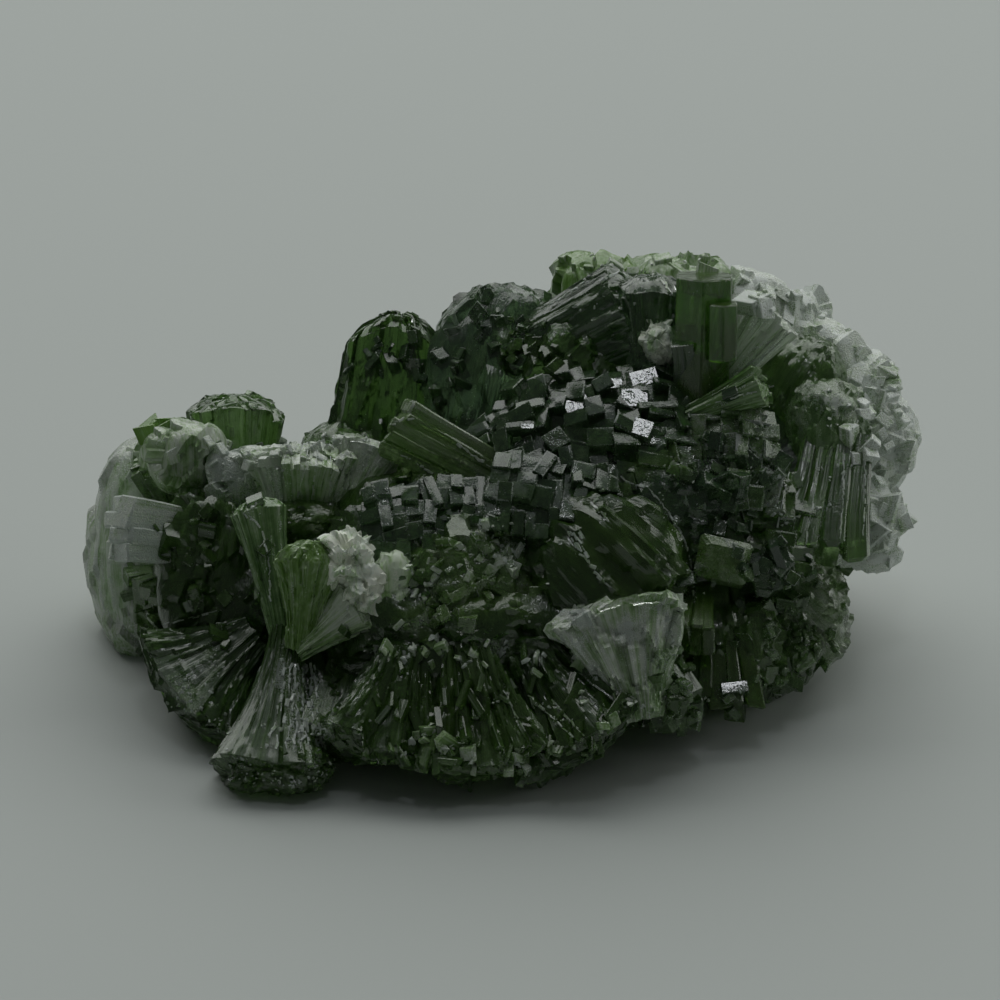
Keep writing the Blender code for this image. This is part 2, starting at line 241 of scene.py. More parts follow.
RIGHT = {
    "right_fan": Fan((27.6, 18.8, -8), (26, 9.9, -11.5), X_AXIS, 6, 3, (5.4, 4.4), (4, 1), "deep",
        curl=0.7, jitter=0.05, rounding=0.02, chamfer=0.3, slope=0.5, uneven=0.12),
    "mosaic": Fan((8.5, 12.4, -0.5), (8.3, 20.4, -13.6), X_AXIS, 22, 14, (7, 5), (11, 10), "slate",
        jitter=0.06, tilt=28, **MOSAIC),
    "mosaic_left": Fan((5, 11.8, -1.5), (1.2, 18.2, -12.2), (0.9, 0.4, 0), 20, 12, (4, 5), (9, 9),
        "slate", jitter=0.035, tilt=22, **MOSAIC),
    "sparkle": Fan((18, 14.5, -5), (18, 17.6, -14.4), X_AXIS, 14, 12, (4.5, 5), (6, 6), "misty",
        jitter=0.05, tilt=12, slope=0.35, uneven=0.24),
    "inner_right": Fan((20, 9.5, -6), (20.3, 12.4, -14.4), X_AXIS, 20, 16, (4.5, 4.5), (6, 6),
        "deep", jitter=0.08, tilt=14, slope=0.4, uneven=0.24),
    "small_block": Fan((18.1, 7.7, -8), (17.8, 9, -16.2), (1, -0.2, 0), 3, 2, (3.2, 2.5), (1, 1),
        "leafy", jitter=0, slope=0.3, chamfer=0.25),
    "slate_block": Fan((22, 7.2, -8), (21.8, 8.4, -15.4), (1, 0.3, 0), 3, 2, (2.8, 3), (2, 2),
        "slate", jitter=0.05, slope=0.4, chamfer=0.12),
    "low_front": Fan((19.5, 5, -6), (22.2, -1.4, -9), X_AXIS, 20, 8, (4, 5.5), (12, 4), "deep",
        tilt=8),
    "prism_foot": Fan((15.4, 22.5, -8.5), (15.3, 27.2, -11.3), X_AXIS, 2, 2, (2.7, 3.5), (2, 1),
        "slate"),
    "low_right": Mass((24.5, 4.4, -5), (3.9, 4, 6), "pale", (0.6, -0.6, 0), squareness=3,
        faces=((1.8, 2.4, 1.1), (0.8, 1.2, 0.25))),
    "low_inner": Mass((19.1, 1.9, -8), (3.7, 3.7, 6), "green", (0.2, -1, 0), squareness=3,
        fullness=4, faces=((1.6, 3, 0.9), (0.7, 1.4, 0.2))),
    "right_middle": Mass((12.5, 4, 11.5), (12.9, 12.4, 13.4), "slate", faces=((3.2, 3.2, 1.2),
        (1.3, 1.3, 0.35)), **CORE),
    "shoulder": Mass((24.7, 22.9, -2), (3.9, 4.8, 5), "deep", (0.5, 0.8, 0), faces=((0.9, 4, 0.3),
        (0.4, 1.2, 0.1))),
    "frosted_dome": Mass((26.8, 19.9, -6), (3.4, 4, 4.8), "misty", faces=((1.6, 1.6, 0.4),
        (0.7, 0.7, 0.1))),
}

REAR = {
    "slanting_prisms": Fan((-0.1, 15.2, -9.5), (-9.1, 20, -8.5), (0.5, 0.85, 0), 3, 3, (4.2, 5),
        (5, 2), "leafy", curl=0.2, jitter=0.06, tilt=5, slope=0.4, chamfer=0.12),
    "rear_low_left": Fan((-17, 8, 8), (-23.4, 17.2, 4), (1, 0.4, 0), 28, 14, (6, 6), (10, 7),
        "green", **REAR_FAN),
    "rear_left_mid": Fan((-12, 8, 7.5), (-14, 20, 5.6), X_AXIS, 22, 10, (6, 7), (9, 7), "slate",
        **REAR_FAN),
    "rear_mid_low": Fan((-3, 8, 9), (-4, 21.5, 5), X_AXIS, 22, 14, (7, 6), (10, 7), "green",
        **REAR_FAN),
    "rear_mid_high": Fan((2, 8, 13), (3, 22, 16), X_AXIS, 24, 16, (7, 8), (11, 8), "slate",
        **REAR_FAN),
    "rear_right_low": Fan((9, 8, 10), (11, 22, 5.5), X_AXIS, 24, 14, (7, 7), (10, 7), "deep",
        **REAR_FAN),
    "rear_right_high": Fan((13, 9, 14), (15.5, 22.2, 15), X_AXIS, 22, 16, (7, 8), (10, 8), "green",
        **REAR_FAN),
    "rear_corner": Fan((18, 9, 10), (26.2, 17.4, 10), (1, -0.6, 0), 26, 16, (6, 7), (10, 8),
        "slate", **REAR_FAN),
    "right_low": Fan((19, 6, 9), (26.8, 8, 4), UP, 24, 10, (5, 5), (7, 6), "green", **REAR_FAN),
    "left_low": Fan((-22, 3, 7), (-30.2, 0, 4.5), UP, 26, 10, (5, 5), (7, 6), "green", **REAR_FAN),
    "crest_left": Lobe((-10.1, 16.4, 3), (-8.7, 29.6, 2), X_AXIS, -7, -5, (11, 9), "deep",
        curl=-0.5, ribs=(24, 0.4), rounding=0.4, backing=0.1, squareness=2.8, faces=((1.1, 7, 0.4),
        (0.6, 3, 0.06))),
    "sheaf": Lobe((1.6, 24.6, -2), (12.2, 29.8, -4.5), (-0.4, 0.9, 0), 5, 6, (8, 7.5), "slate",
        ribs=(44, 0.18), rounding=0.2, squareness=2.4, faces=((0.9, 9, 0.25), (0.5, 2, 0.05))),
    "sheaf_right": Lobe((12, 20, -6), (12.4, 32.6, -5.2), X_AXIS, 9, 9, (3.5, 6), "slate", curl=0.9,
        ribs=(26, 0.25), rounding=0.24, faces=((0.6, 5, 0.2),)),
    "crest_low": Mass((-13.1, 16.4, 4), (4.3, 4.2, 6), "deep", (0.3, 1, 0), fullness=4,
        faces=((1.6, 5, 0.5), (0.7, 2, 0.08))),
    "crest_mid": Mass((-0.1, 20.4, 2), (6.6, 11.5, 7), "slate", (0.2, 1, 0), fullness=4,
        faces=((1.6, 4, 0.6), (0.8, 2, 0.1))),
    "sheaf_foot": Mass((7.2, 24.4, -3.5), (5.8, 4.7, 4.8), "deep", (0.5, 0.8, 0),
        faces=((1.8, 2.4, 0.8), (0.7, 0.9, 0.22))),
}

PALE = {
    "grey_block": Fan((-26.4, 10.9, -6.2), (-32, 11.6, -8.6), UP, 4, 2, (4.6, 4.4), (3, 2), "white",
        jitter=0.05, tilt=7, slope=0.35, chamfer=0.12),
    "left_tip": Fan((-27, 13, 2), (-29.2, 20.5, 1), X_AXIS, 5, 4, (2.2, 2.4), (2, 2), "olive",
        slope=0.4),
    "pale_points": Fan((-26, 11, 1), (-26.4, 19, 1), X_AXIS, 15, 6, (3, 4), (7, 3), "pale"),
    "ridge_columns": Fan((-16.4, 12.2, -7.6), (-15.7, 17.8, -10.5), X_AXIS, 10, 8, (2.6, 2.4),
        (9, 3), "pale", jitter=0.03, chamfer=0.05, step=0.08, tilt=6, slope=0.3),
    "grey_wedge": Lobe((17.1, 22.5, -9), (22.5, 29, -9.5), (-0.7, 0.7, 0), 7, 5, (2.2, 3), "milky",
        ribs=(16, 0.4), rounding=0.04, squareness=4, faces=((0.5, 9, 0.2),)),
    "short_blades": Lobe((15.2, 20.7, -11.5), (21.4, 23.3, -12.5), (-0.4, 0.9, 0), 8, 5, (1.6, 3),
        "misty", ribs=(12, 0.35), rounding=0.04, squareness=4, faces=((0.5, 9, 0.2),)),
    "petal": Lobe((11, -3.4, -19.8), (9.2, 5.9, -19.8), X_AXIS, 27, 3, (3.2, 3.2), "milky",
        curl=0.3, ribs=(8, 0.2), rounding=0.08, faces=((2.8, 2.8, 0.8), (0.9, 1.2, 0.2))),
    "sticks": Lobe((-16.5, 1.6, -16.2), (-11.4, 5.6, -16.8), (-0.7, 0.7, 0), 17, 4, (1.4, 1.6),
        "pale", ribs=(8, 0.4), rounding=0.1, squareness=3.6, faces=((0.6, 5, 0.25),
        (0.4, 0.9, 0.06))),
    "column": Lobe((-17.8, 1.5, -14.6), (-20.2, 13.9, -12.4), X_AXIS, 7, 4, (1.8, 2.2), "misty",
        curl=0.8, ribs=(12, 0.2), rounding=0.1, faces=((0.6, 5, 0.12), (0.4, 0.8, 0.05))),
    "leaf": Lobe((-16.3, 1.9, -16.2), (-15.5, 10.6, -16.8), X_AXIS, 14, 3, (2.6, 1.6), "leafy",
        curl=1, ribs=(14, 0.16), rounding=0.34, squareness=2.2, faces=((0.7, 4, 0.2),
        (0.4, 0.8, 0.09))),
    "ridge": Lobe((-16.4, 11.4, -7), (-16.1, 18.3, -7.6), X_AXIS, 20, 8, (6.4, 5), "milky",
        curl=0.8, ribs=(30, 0.3), rounding=0.1, squareness=3.2, faces=((1.2, 2.6, 0.5),
        (0.5, 1, 0.1))),
    "bowl": Lobe((-13.2, 12.6, -8.5), (-10.5, 18.6, -7.5), (0.9, -0.4, 0), 20, 8, (2.5, 3.4),
        "milky", curl=0.8, ribs=(16, 0.3), rounding=0.12, faces=((1, 3, 0.25), (0.5, 1, 0.06))),
    "crown_right": Mass((15.2, 29.2, 5.5), (4.3, 5.1, 5), "pale", squareness=4, faces=CROWN),
    "crown_left": Mass((7.9, 29.2, 5), (3.4, 5.1, 5), "leafy", squareness=4, faces=CROWN),
    "left_lobe": Mass((-28.6, 9.7, 4.5), (6.6, 9.6, 6), "milky", squareness=2.6, faces=((3, 5, 0.6),
        (1.2, 2, 0.12))),
    "pale_ridge": Mass((-26.2, 17.3, -2.5), (2.7, 2.8, 3.4), "pale", squareness=3.2,
        faces=((2.6, 3.6, 1.1), (0.9, 1.8, 0.1))),
    "pale_saddle": Mass((-22, 15.6, -4), (2.6, 2.7, 3), "white", squareness=3.2,
        faces=((2.6, 3.6, 1), (0.9, 1.8, 0.1))),
    "left_point": Mass((-28.1, 16.9, 0), (2.6, 3, 3), "pale", faces=((2, 3, 0.6),
        (0.8, 1.5, 0.12))),
}

CLEAR = {
    "pale_rear": Mass((20.9, 27, 5), (4.1, 6.3, 5), "white", squareness=3, faces=BROKEN),
    "pale_corner": Mass((24.8, 27.1, 6), (2.9, 4.8, 4), "white", squareness=3, faces=BROKEN),
    "pale_shoulder": Mass((26, 21.6, 4.5), (6.3, 7.7, 5), "white", (0.7, 0.7, 0), squareness=2.4,
        faces=BROKEN),
    "shoulder_tip": Mass((29.7, 22.7, 3.5), (3.7, 3.7, 4.5), "white", (0.7, 0.5, 0), squareness=2.6,
        faces=BROKEN),
    "pale_end_high": Mass((29, 18.8, 2.5), (5.4, 4.2, 4.5), "white", (1, 0.2, 0), squareness=3,
        faces=BROKEN),
    "pale_end_low": Mass((28.6, 12.5, 0.5), (4.8, 3.9, 4.6), "white", (0.9, -0.3, 0), squareness=3,
        faces=BROKEN),
}

OLIVE = {
    "olive_fan": Fan((17.4, 6.5, -10.5), (17.8, -3, -12.8), X_AXIS, 8, 2, (3.4, 4), (5, 2), "olive",
        jitter=0.08, chamfer=0.12, tilt=10, step=0.12, slope=0.5),
    "olive_blade": Fan((16, 6.5, -13), (15.6, 2.6, -17.5), X_AXIS, 5, 3, (1.8, 2.4), (3, 1),
        "olive", jitter=0.06, chamfer=0.15, tilt=10),
}

CRUST = {
    "crust": Mass((-12.6, 9.2, -15.4), (1.9, 1.9, 3.2), "white", squareness=3, turn=20,
        faces=((1.3, 1.3, 0.9), (0.6, 0.6, 0.2))),
    "crust_low": Mass((-11.5, 7, -15), (2.1, 2.2, 3.4), "white", squareness=3,
        faces=((1.3, 1.3, 0.9), (0.6, 0.6, 0.2))),
    "crust_side": Mass((-9.3, 7.3, -14.2), (1.9, 2.8, 3.2), "pale", squareness=3,
        faces=((1.6, 1.6, 0.9), (0.7, 0.7, 0.15))),
    "cream_patch": Mass((12.8, 26.9, -8.5), (1.4, 1.7, 2), "white", faces=((0.9, 0.9, 0.4),
        (0.4, 0.4, 0.15))),
}

# Soft patches: change of paleness, frost, olive and grey, then places as
# right, up, reach to the right and reach upwards. Most are the stone's own
# tone and frost; those marked below are painted highlights and painted light
# shining through.
PATCHES = {
    # Painted highlight: white frost and paleness where the skirt's flutes catch the light.
    "skirt_painted_highlight": ((0.45, 0.95, -0.1, -0.1), [(-18.6, -0.6, 0.6, 2.2), (-17.4, -5.3, 0.8, 1.8),
        (-15.8, -3.9, 0.7, 2.9), (-17.1, -2.1, 0.4, 1.5), (-14.5, -5.1, 0.4, 1.8)]),
    "skirt_foot": ((0, 0.25, 0, 0.1), [(-22.1, -8.4, 1.3, 1.2), (-19.2, -9.8, 1.5, 1),
        (-16.3, -9, 1.5, 1)]),
    "left_white": ((0.25, 0.6, -0.1, 0), [(-24.6, 0.4, 0.7, 1.8), (-27.2, -1.5, 1.1, 0.7),
        (-25.9, -2.7, 1.7, 1)]),
    "ridge_white": ((0.25, 0.6, -0.1, -0.1), [(-15.4, 18.7, 3, 0.5), (-23.2, 16.4, 1.2, 1.7),
        (-23.7, 15, 0.8, 0.7), (-10.2, 17.1, 0.7, 0.5)]),
    "dome_white": ((0.3, 0.6, -0.1, -0.1), [(-2, 11.2, 1.2, 0.8), (0.5, 9.7, 1.1, 1.3),
        (-5, 6.8, 1, 0.5), (-8.3, 1, 0.9, 0.8), (-3.3, 0.3, 0.7, 0.5), (0.7, 1.3, 1.8, 0.8),
        (-7.4, 12.2, 1.7, 0.8)]),
    "dome_lumps": ((0.32, 0.2, 0.25, -0.2), [(-7, 3.8, 1.8, 1.5), (-2.8, 5.5, 1.7, 1.7),
        (1.4, 5.5, 1.5, 1.5), (-5.3, 9.2, 1.5, 0.8), (-9.1, 7.6, 1, 2)]),
    "dome_rim_pale": ((0.3, 0.3, 0.1, -0.1), [(11.5, 15.4, 1, 0.8), (13.1, 13.2, 0.8, 1.2),
        (14.5, 10.5, 0.7, 1.7), (15.3, 6.7, 0.7, 2)]),
    "dome_core": ((-0.2, -0.1, 0.15, -0.2), [(8.9, 10.5, 3.4, 2.5), (11.5, 6.3, 2.5, 2)]),
    "petal_white": ((0.3, 0.6, -0.2, 0), [(10.2, 2.6, 1.4, 1), (6.6, 4, 1, 0.7),
        (13.8, 3.3, 0.5, 1.2), (7.4, -0.9, 0.4, 1)]),
    "crest_spot": ((0.5, 0, 0.6, -0.1), [(-0, 27.7, 0.6, 0.7)]),
    # Painted light shining through: paler, greener and less grey.
    "painted_glow": ((0.25, -0.1, 0.6, -0.5), [(14.3, 17.1, 1.5, 1.2), (11.5, 16.6, 1.2, 0.8)]),
    "right_white": ((0.35, 0.7, -0.2, -0.1), [(23.2, 15.7, 0.5, 1), (22.6, 13.6, 0.8, 1),
        (23.7, 12.1, 0.8, 0.6), (28.1, 16.6, 1.5, 0.6), (26.6, 13, 0.6, 0.8),
        (19.4, 19.4, 0.4, 1.1)]),
    "dome_nodules": ((0.2, 0.4, -0.1, 0), [(26.2, 22.7, 1.3, 0.8), (28.7, 21.4, 1, 1.2),
        (25.3, 20.6, 0.8, 0.8)]),
    "shoulder_arcs": ((0.2, 0.5, -0.1, 0), [(27.1, 26.3, 1.2, 0.4), (28.1, 24.8, 0.4, 1)]),
    # Painted light shining through at the pale right end: paler, greener and less grey.
    "end_painted_glow": ((0.1, 0, 0.3, -0.2), [(29.7, 25, 1.3, 1), (22.2, 31.3, 0.7, 0.6)]),
    # Painted highlight: white frost on the olive fan's bright bar, where it catches the light.
    "olive_painted_glint": ((0.2, 0.7, 0, 0), [(19.4, -2, 1.2, 0.3)]),
    "foot_dark": ((-0.2, -0.2, 0.1, 0), [(-5.3, -2.9, 4.2, 3.4), (4.7, -4.6, 4.2, 2.5)]),
}

# Small white crystals that grew last, some of them painted highlights:
# narrowest and widest half width, then spots as right, up, reach to the right,
# reach upwards and count.
FROST_AND_HIGHLIGHT_SPOTS = {
    "crust_fringe": (0.25, 0.5, [(-7.6, 7.7, 0.7, 0.4, 7), (-13, 8.8, 0.7, 1.2, 14),
        (-12.4, 5.5, 0.7, 0.7, 8)]),
    "dome_frost": (0.15, 0.45, [(-1.7, 11.2, 1.3, 0.9, 34), (0.8, 9.7, 1.2, 1.5, 34),
        (-4.7, 6.9, 1.1, 0.3, 12), (-6.9, 6.5, 1.5, 0.8, 10), (-4.2, 8.8, 3.4, 1.7, 18),
        (2.5, 6.3, 1.3, 1, 10)]),
    "dome_flakes": (0.35, 0.9, [(-8, 1.1, 0.8, 0.7, 7), (-3, 0.3, 0.6, 0.4, 4), (1, 1.3, 2, 1, 12),
        (-5, 2.1, 1.7, 0.8, 5)]),
    "petal_edge": (0.25, 0.6, [(14.4, 3.1, 0.5, 1.3, 16), (7.7, -0.9, 0.3, 1, 8),
        (11.8, -3.4, 1.5, 0.4, 8), (6, 4.4, 0.5, 0.5, 5)]),
    "dome_rim": (0.12, 0.3, [(13, 13.9, 0.5, 0.7, 8), (14.1, 12.2, 0.5, 0.7, 9),
        (15.1, 10.1, 0.4, 0.8, 10), (15.8, 7.6, 0.4, 1.2, 14), (16.1, 5.6, 0.5, 0.7, 10)]),
    # White splinters where the skirt's flutes catch the light: a painted highlight.
    "skirt_frost": (0.15, 0.4, [(-18.6, -0.6, 0.4, 1.3, 14), (-17.5, -5, 0.8, 1.3, 26),
        (-15.5, -6.1, 0.6, 1.2, 34), (-16.1, -2.9, 0.4, 1.3, 12), (-20, -6.3, 0.8, 1.2, 10)]),
    "skirt_rim": (0.15, 0.4, [(-22.2, -8.2, 0.8, 0.7, 14), (-20.6, -9.3, 0.8, 0.7, 16),
        (-18.9, -9.9, 0.8, 0.7, 18), (-17.2, -9.7, 0.8, 0.7, 18), (-15.5, -9.2, 0.8, 0.6, 16),
        (-14.4, -8.3, 0.5, 0.5, 10)]),
    "left_frost": (0.15, 0.4, [(-24.3, 0.4, 0.5, 1.3, 20), (-26.9, -1.5, 0.8, 0.6, 16),
        (-25.5, -2.9, 1.8, 1.2, 30), (-23.9, -5, 1.2, 1.2, 14)]),
    "ridge_frost": (0.2, 0.5, [(-16.8, 18.7, 1, 0.3, 12), (-14.3, 18.8, 1, 0.3, 12),
        (-12.4, 18.9, 0.7, 0.4, 8), (-22.7, 17.1, 1.2, 1.2, 16), (-18.3, 16.4, 0.5, 1.7, 8),
        (-20.8, 13.4, 0.5, 0.7, 6)]),
    "right_frost": (0.2, 0.5, [(23.5, 15.7, 0.4, 0.8, 12), (22.9, 13.6, 0.6, 0.9, 12),
        (24, 12.2, 0.7, 0.5, 10), (28.4, 16.6, 1.3, 0.5, 12), (26.9, 13, 0.5, 0.7, 5),
        (27.7, 21.4, 2.5, 1.8, 22)]),
    "sparkle_frost": (0.12, 0.35, [(18.4, 19.4, 0.3, 0.9, 14), (16.8, 16.4, 2.5, 1.8, 16),
        (20.2, 18.1, 1.7, 1.7, 14)]),
    "sheaf_frost": (0.12, 0.35, [(12.2, 32.8, 1.3, 0.7, 12), (8.4, 30.7, 2.5, 1.3, 8),
        (4.4, 27.5, 1.2, 1, 8)]),
    "foot_crystals": (0.35, 0.75, [(-6.1, -5.5, 0.6, 0.6, 4), (-4.5, -6.6, 0.6, 0.6, 4),
        (-2.5, -7.8, 0.5, 0.8, 5), (1.6, -8.7, 0.7, 0.4, 4), (-8.4, -6.7, 0.8, 0.7, 3),
        (5, -6.7, 1.3, 0.5, 5), (9.2, -5.9, 1.5, 0.7, 7), (7.6, -2.9, 1.3, 0.8, 4)]),
    "foot_frost": (0.12, 0.35, [(3.4, -3.4, 1, 0.5, 10), (5, -5, 1, 0.7, 12),
        (0, -2.9, 1.7, 1.7, 8), (-10.1, -2.9, 2.2, 2, 8), (11.8, -5, 1.2, 0.7, 10)]),
    # White splinters along the olive fan's bright bar: a painted highlight.
    "olive_frost": (0.15, 0.4, [(19.7, -2, 1, 0.3, 12), (17.1, -2.9, 0.4, 0.3, 5)]),
    "back_frost": (0.3, 0.7, [(22.3, 31.3, 2, 1, 12), (16.8, 33.9, 2.5, 0.5, 8),
        (8.4, 33.9, 2.2, 0.7, 6), (31.9, 20.6, 1.3, 2, 14), (33.2, 17.2, 0.8, 1.3, 8)]),
}

# Small blades of the stone itself that stand out of the surface: look, the
# way they lean, narrowest and widest half width, length against half width,
# then spots as before.
DARK_DRUSES = {
    "feet": ("deep", (0, -1.8, 0), (0.18, 0.45), 4.5, [(-8.1, -4, 3.5, 4.4, 18),
        (-1.1, -4, 4.2, 4.8, 20), (6.8, -3.8, 3.8, 3.3, 14)]),
    "foot_tips": ("green", (0, -1, -0.3), (0.2, 0.45), 2.2, [(-4.9, -7.8, 7.2, 1.1, 24),
        (6.8, -6.8, 4.7, 0.8, 18)]),
    "hollow_druse": ("deep", (0, 0.2, 0), (0.3, 0.8), 0.5, [(-24.7, 9, 3.8, 4.4, 26),
        (-23.9, 4.2, 2.5, 2.1, 8)]),
    "dome_druse": ("green", (0, 0, 0), (0.3, 0.8), 0.4, [(-5.9, 6.3, 3.1, 5, 16),
        (0.3, 7.1, 4, 5, 16)]),
    "right_druse": ("slate", (0, 0.1, 0), (0.3, 0.8), 0.9, [(19.4, 15.2, 3.8, 4.7, 50),
        (22.6, 8, 2.3, 2.5, 18)]),
    "low_druse": ("misty", (0.3, -0.2, 0), (0.25, 0.7), 1.2, [(24.5, 3, 4.2, 5, 55),
        (16.5, -5, 5, 1.7, 30), (13.9, 0.4, 1.2, 4.2, 16)]),
    "sheaf_druse": ("deep", (0, 0.2, 0), (0.3, 0.7), 0.7, [(2.1, 26.5, 2.6, 2.1, 22)]),
    "crest_druse": ("slate", (0, 0.6, 0), (0.25, 0.7), 0.8, [(-5.6, 24.6, 2.8, 2.3, 14),
        (-1.9, 28.8, 3.3, 1.9, 18), (-9.6, 26.7, 3.4, 1.9, 12)]),
    "skirt_druse_side": ("deep", (0, -0.5, 0), (0.2, 0.5), 1.2, [(-14.2, -4, 1.1, 4.4, 18)]),
}

CLEAR_DRUSES = {
    "end_druse": ("white", (0.4, 0.3, 0), (0.4, 1), 0.7, [(31.6, 21.2, 2.4, 5.6, 30),
        (31.8, 12.3, 1.2, 3.3, 14), (23, 30.4, 3.2, 1.4, 10)]),
}

PALE_DRUSES = {
    "dome_pale": ("pale", (0, 0, 0), (0.25, 0.6), 0.5, [(-7, 7.3, 1.7, 1.8, 10),
        (-1, 9.2, 2.8, 1.7, 16), (-2.8, 1, 5.9, 1.2, 12)]),
    "ridge_druse": ("milky", (0, 0.5, 0), (0.25, 0.6), 0.7, [(-23.9, 17.6, 3.3, 1.2, 8),
        (-16.1, 17.9, 4, 1.2, 12)]),
    "crown_druse": ("pale", (0, 0.7, 0), (0.4, 0.9), 0.7, [(12, 33.6, 7.3, 0.9, 9)]),
    "foot_pale": ("pale", (0, -0.3, -0.3), (0.3, 0.6), 1.6, [(-6.4, -5.5, 0.7, 0.8, 3),
        (-4.8, -6.6, 0.7, 0.7, 3), (-2.8, -7.9, 0.5, 1.2, 4), (1.4, -8.6, 0.8, 0.5, 4),
        (10, -5.8, 1.9, 1.2, 8)]),
}

# The skirt's painted highlight streaks run through these heights, each by its own places.
SKIRT_HIGHLIGHT_UPS = (0.1, -2.2, -4.8, -7)
SKIRT_HIGHLIGHT_RIGHTS = (
    (-18.4, -18.6, -19.2, -20.1),
    (-17.9, -18.1, -18.5, -19.1),
    (-17.5, -17.6, -17.9, -18.3),
    (-17.2, -17.3, -17.4, -17.6),
    (-16.9, -16.9, -16.9, -17),
    (-16.6, -16.5, -16.5, -16.4),
    (-16.2, -16.2, -16, -15.7),
    (-15.9, -15.8, -15.5, -15.1),
)

# White seams along cracks and edges, and the skirt's painted highlight streaks:
# half width, then paths of right and up.
FROST_AND_HIGHLIGHT_SEAMS = {
    "dome_vein": (0.16, [[(9, 15.9), (10.2, 15.5)], [(8.7, 15.1), (7.6, 13.8)], [(7.3, 13.7),
        (8.1, 12.9), (8.8, 12.1)], [(5.5, 11.3), (6.4, 10.3), (7.1, 9.2)], [(6.2, 11.5),
        (6.6, 10.7)], [(10.1, 15.5), (12.1, 14.9)]]),
    "dome_crack": (0.17, [[(5.3, 11.3), (6.1, 10.1), (6.8, 9.1), (7.5, 8.1), (8.2, 7.2),
        (9.2, 6.3)]]),
    "dome_side": (0.1, [[(12.1, 14.9), (13, 13.9), (13.8, 12.9), (14.6, 11.5), (15.3, 10.3),
        (15.6, 9.3), (16, 5.5)]]),
    # White slivers along the skirt's flutes: a painted highlight where they catch the light.
    "skirt_streaks": (0.17, [list(zip(rights, SKIRT_HIGHLIGHT_UPS)) for rights in SKIRT_HIGHLIGHT_RIGHTS]),
    "sheaf_streaks": (0.14, [[(3.8, 30.3), (5.5, 31.3), (7.1, 32.3)], [(8.2, 32.2), (9.2, 32.8),
        (10.3, 33.4), (11.2, 33.7)], [(12, 33.1), (13.2, 32.4), (14, 31.3)]]),
    "prism_edges": (0.12, [[(-3.9, 18.6), (-2.4, 17.5), (-0.9, 16.5)], [(-8.6, 17.7), (-7.1, 16.8),
        (-5.6, 15.9)], [(-10, 20), (-8.4, 20.6), (-7.6, 20.7)]]),
    "wedge_ridges": (0.1, [[(19.1, 25.4), (21, 26.5), (23.1, 27.6), (24.8, 28.5)], [(17, 21.8),
        (19.7, 22.6), (22.6, 23.4)], [(19.3, 24.6), (22.3, 26.3)]]),
    "foot_lines": (0.1, [[(2.1, -2.5), (4.2, -4.6), (6.4, -6.5)], [(0, -2.1), (1.7, -5.5)],
        [(4, -2.9), (6.7, -5.9)], [(8.4, -4.6), (10.5, -6.5)]]),
    "column_edges": (0.08, [[(26.4, 17.4), (26, 13.6), (25.3, 10)], [(28.6, 17.7), (28.5, 13.6),
        (28.2, 9.9)], [(30.3, 18.1), (30.4, 14), (30.2, 11)], [(24, 16.2), (23.4, 13.6),
        (23, 11.6)]]),
    "ridge_lines": (0.1, [[(-16.4, 18), (-16.9, 15.9), (-17.2, 14.2)], [(-15.6, 18), (-15.9, 15.6),
        (-16.1, 14)], [(-14.6, 18), (-14.5, 15.8), (-14.6, 14.2)], [(-18.4, 17.6), (-18.9, 15.6)]]),
    "block_edges": (0.1, [[(-21.9, 12.8), (-20.8, 12), (-20.2, 11.3), (-19.7, 8.4), (-19.6, 5.5)],
        [(-29.4, 3.2), (-26.5, 3.9), (-23.8, 4.6)]]),
}

# Plates that face the small bright light: right, up, half width, half height
# and roll in degrees.
BRIGHT_PLATES = (
    (11.8, 24.0, 1.15, 0.65, 16),
    (9.3, 23.5, 0.70, 0.43, 4),
    (11.0, 22.3, 1.10, 0.74, 0),
    (6.1, 21.8, 1.05, 0.59, 22),
    (11.6, 19.8, 0.84, 0.68, -21),
    (2.0, 19.9, 0.55, 0.22, 0),
    (19.4, -2.0, 1.10, 0.42, 6),
)
PLATE_LOOK = (0.25, 0.0, 0.0, 0.8)
PLATE_FORESHORTENING = 1.15
PLATE_ROOT = 2.5
PLATE_RISE = 0.35
PLATE_TRIM = (0.05, 0.05)

# Upright hexagonal prisms: base, top and radius.
PRISMS = (
    ((16.2, 21.5, -9.5), (16.4, 32.2, -12.0), 2.6),
    ((17.8, 25.3, -12.4), (17.8, 29.9, -13.6), 1.35),
)
PRISM_BEVEL = 0.12


def upright(point):
    """Layout point or direction (right, up, back) turned upright."""
    right, up, back = point
    depth = up * math.sin(LAYOUT_LEAN) + back * math.cos(LAYOUT_LEAN)
    height = up * math.cos(LAYOUT_LEAN) - back * math.sin(LAYOUT_LEAN)
    return Vector((right, depth, height))


def layout_rows(place):
    """Rows that turn layout places in the model's axes."""
    return np.array([place(axis) for axis in np.eye(3)])


# ------------------------------------------------------------ mesh helpers

GRAIN_REACH = 40.0


def varied(look, rng):
    """A look that differs a little from blade to blade."""
    return [min(max(value + rng.uniform(-LOOK_SPREAD, LOOK_SPREAD), 0.0), 1.0)
            for value in LOOKS[look]]


def random_vector(rng):
    """A vector that points anywhere."""
    return Vector((rng.gauss(0, 1), rng.gauss(0, 1), rng.gauss(0, 1)))


def grain_offset(rng):
    """Where in the endless grain a crystal lies."""
    return np.array([rng.uniform(-GRAIN_REACH, GRAIN_REACH) for _ in range(3)])


def mesh_from(name, shape):
    """Mesh of a finished bmesh."""
    made = bpy.data.meshes.new(name)
    shape.to_mesh(made)
    shape.free()
    return made


def read_vertices(mesh, kind="co"):
    """Places or normals of all vertices."""
    values = np.empty(3 * len(mesh.vertices))
    mesh.vertices.foreach_get(kind, values)
    return values.reshape(-1, 3)


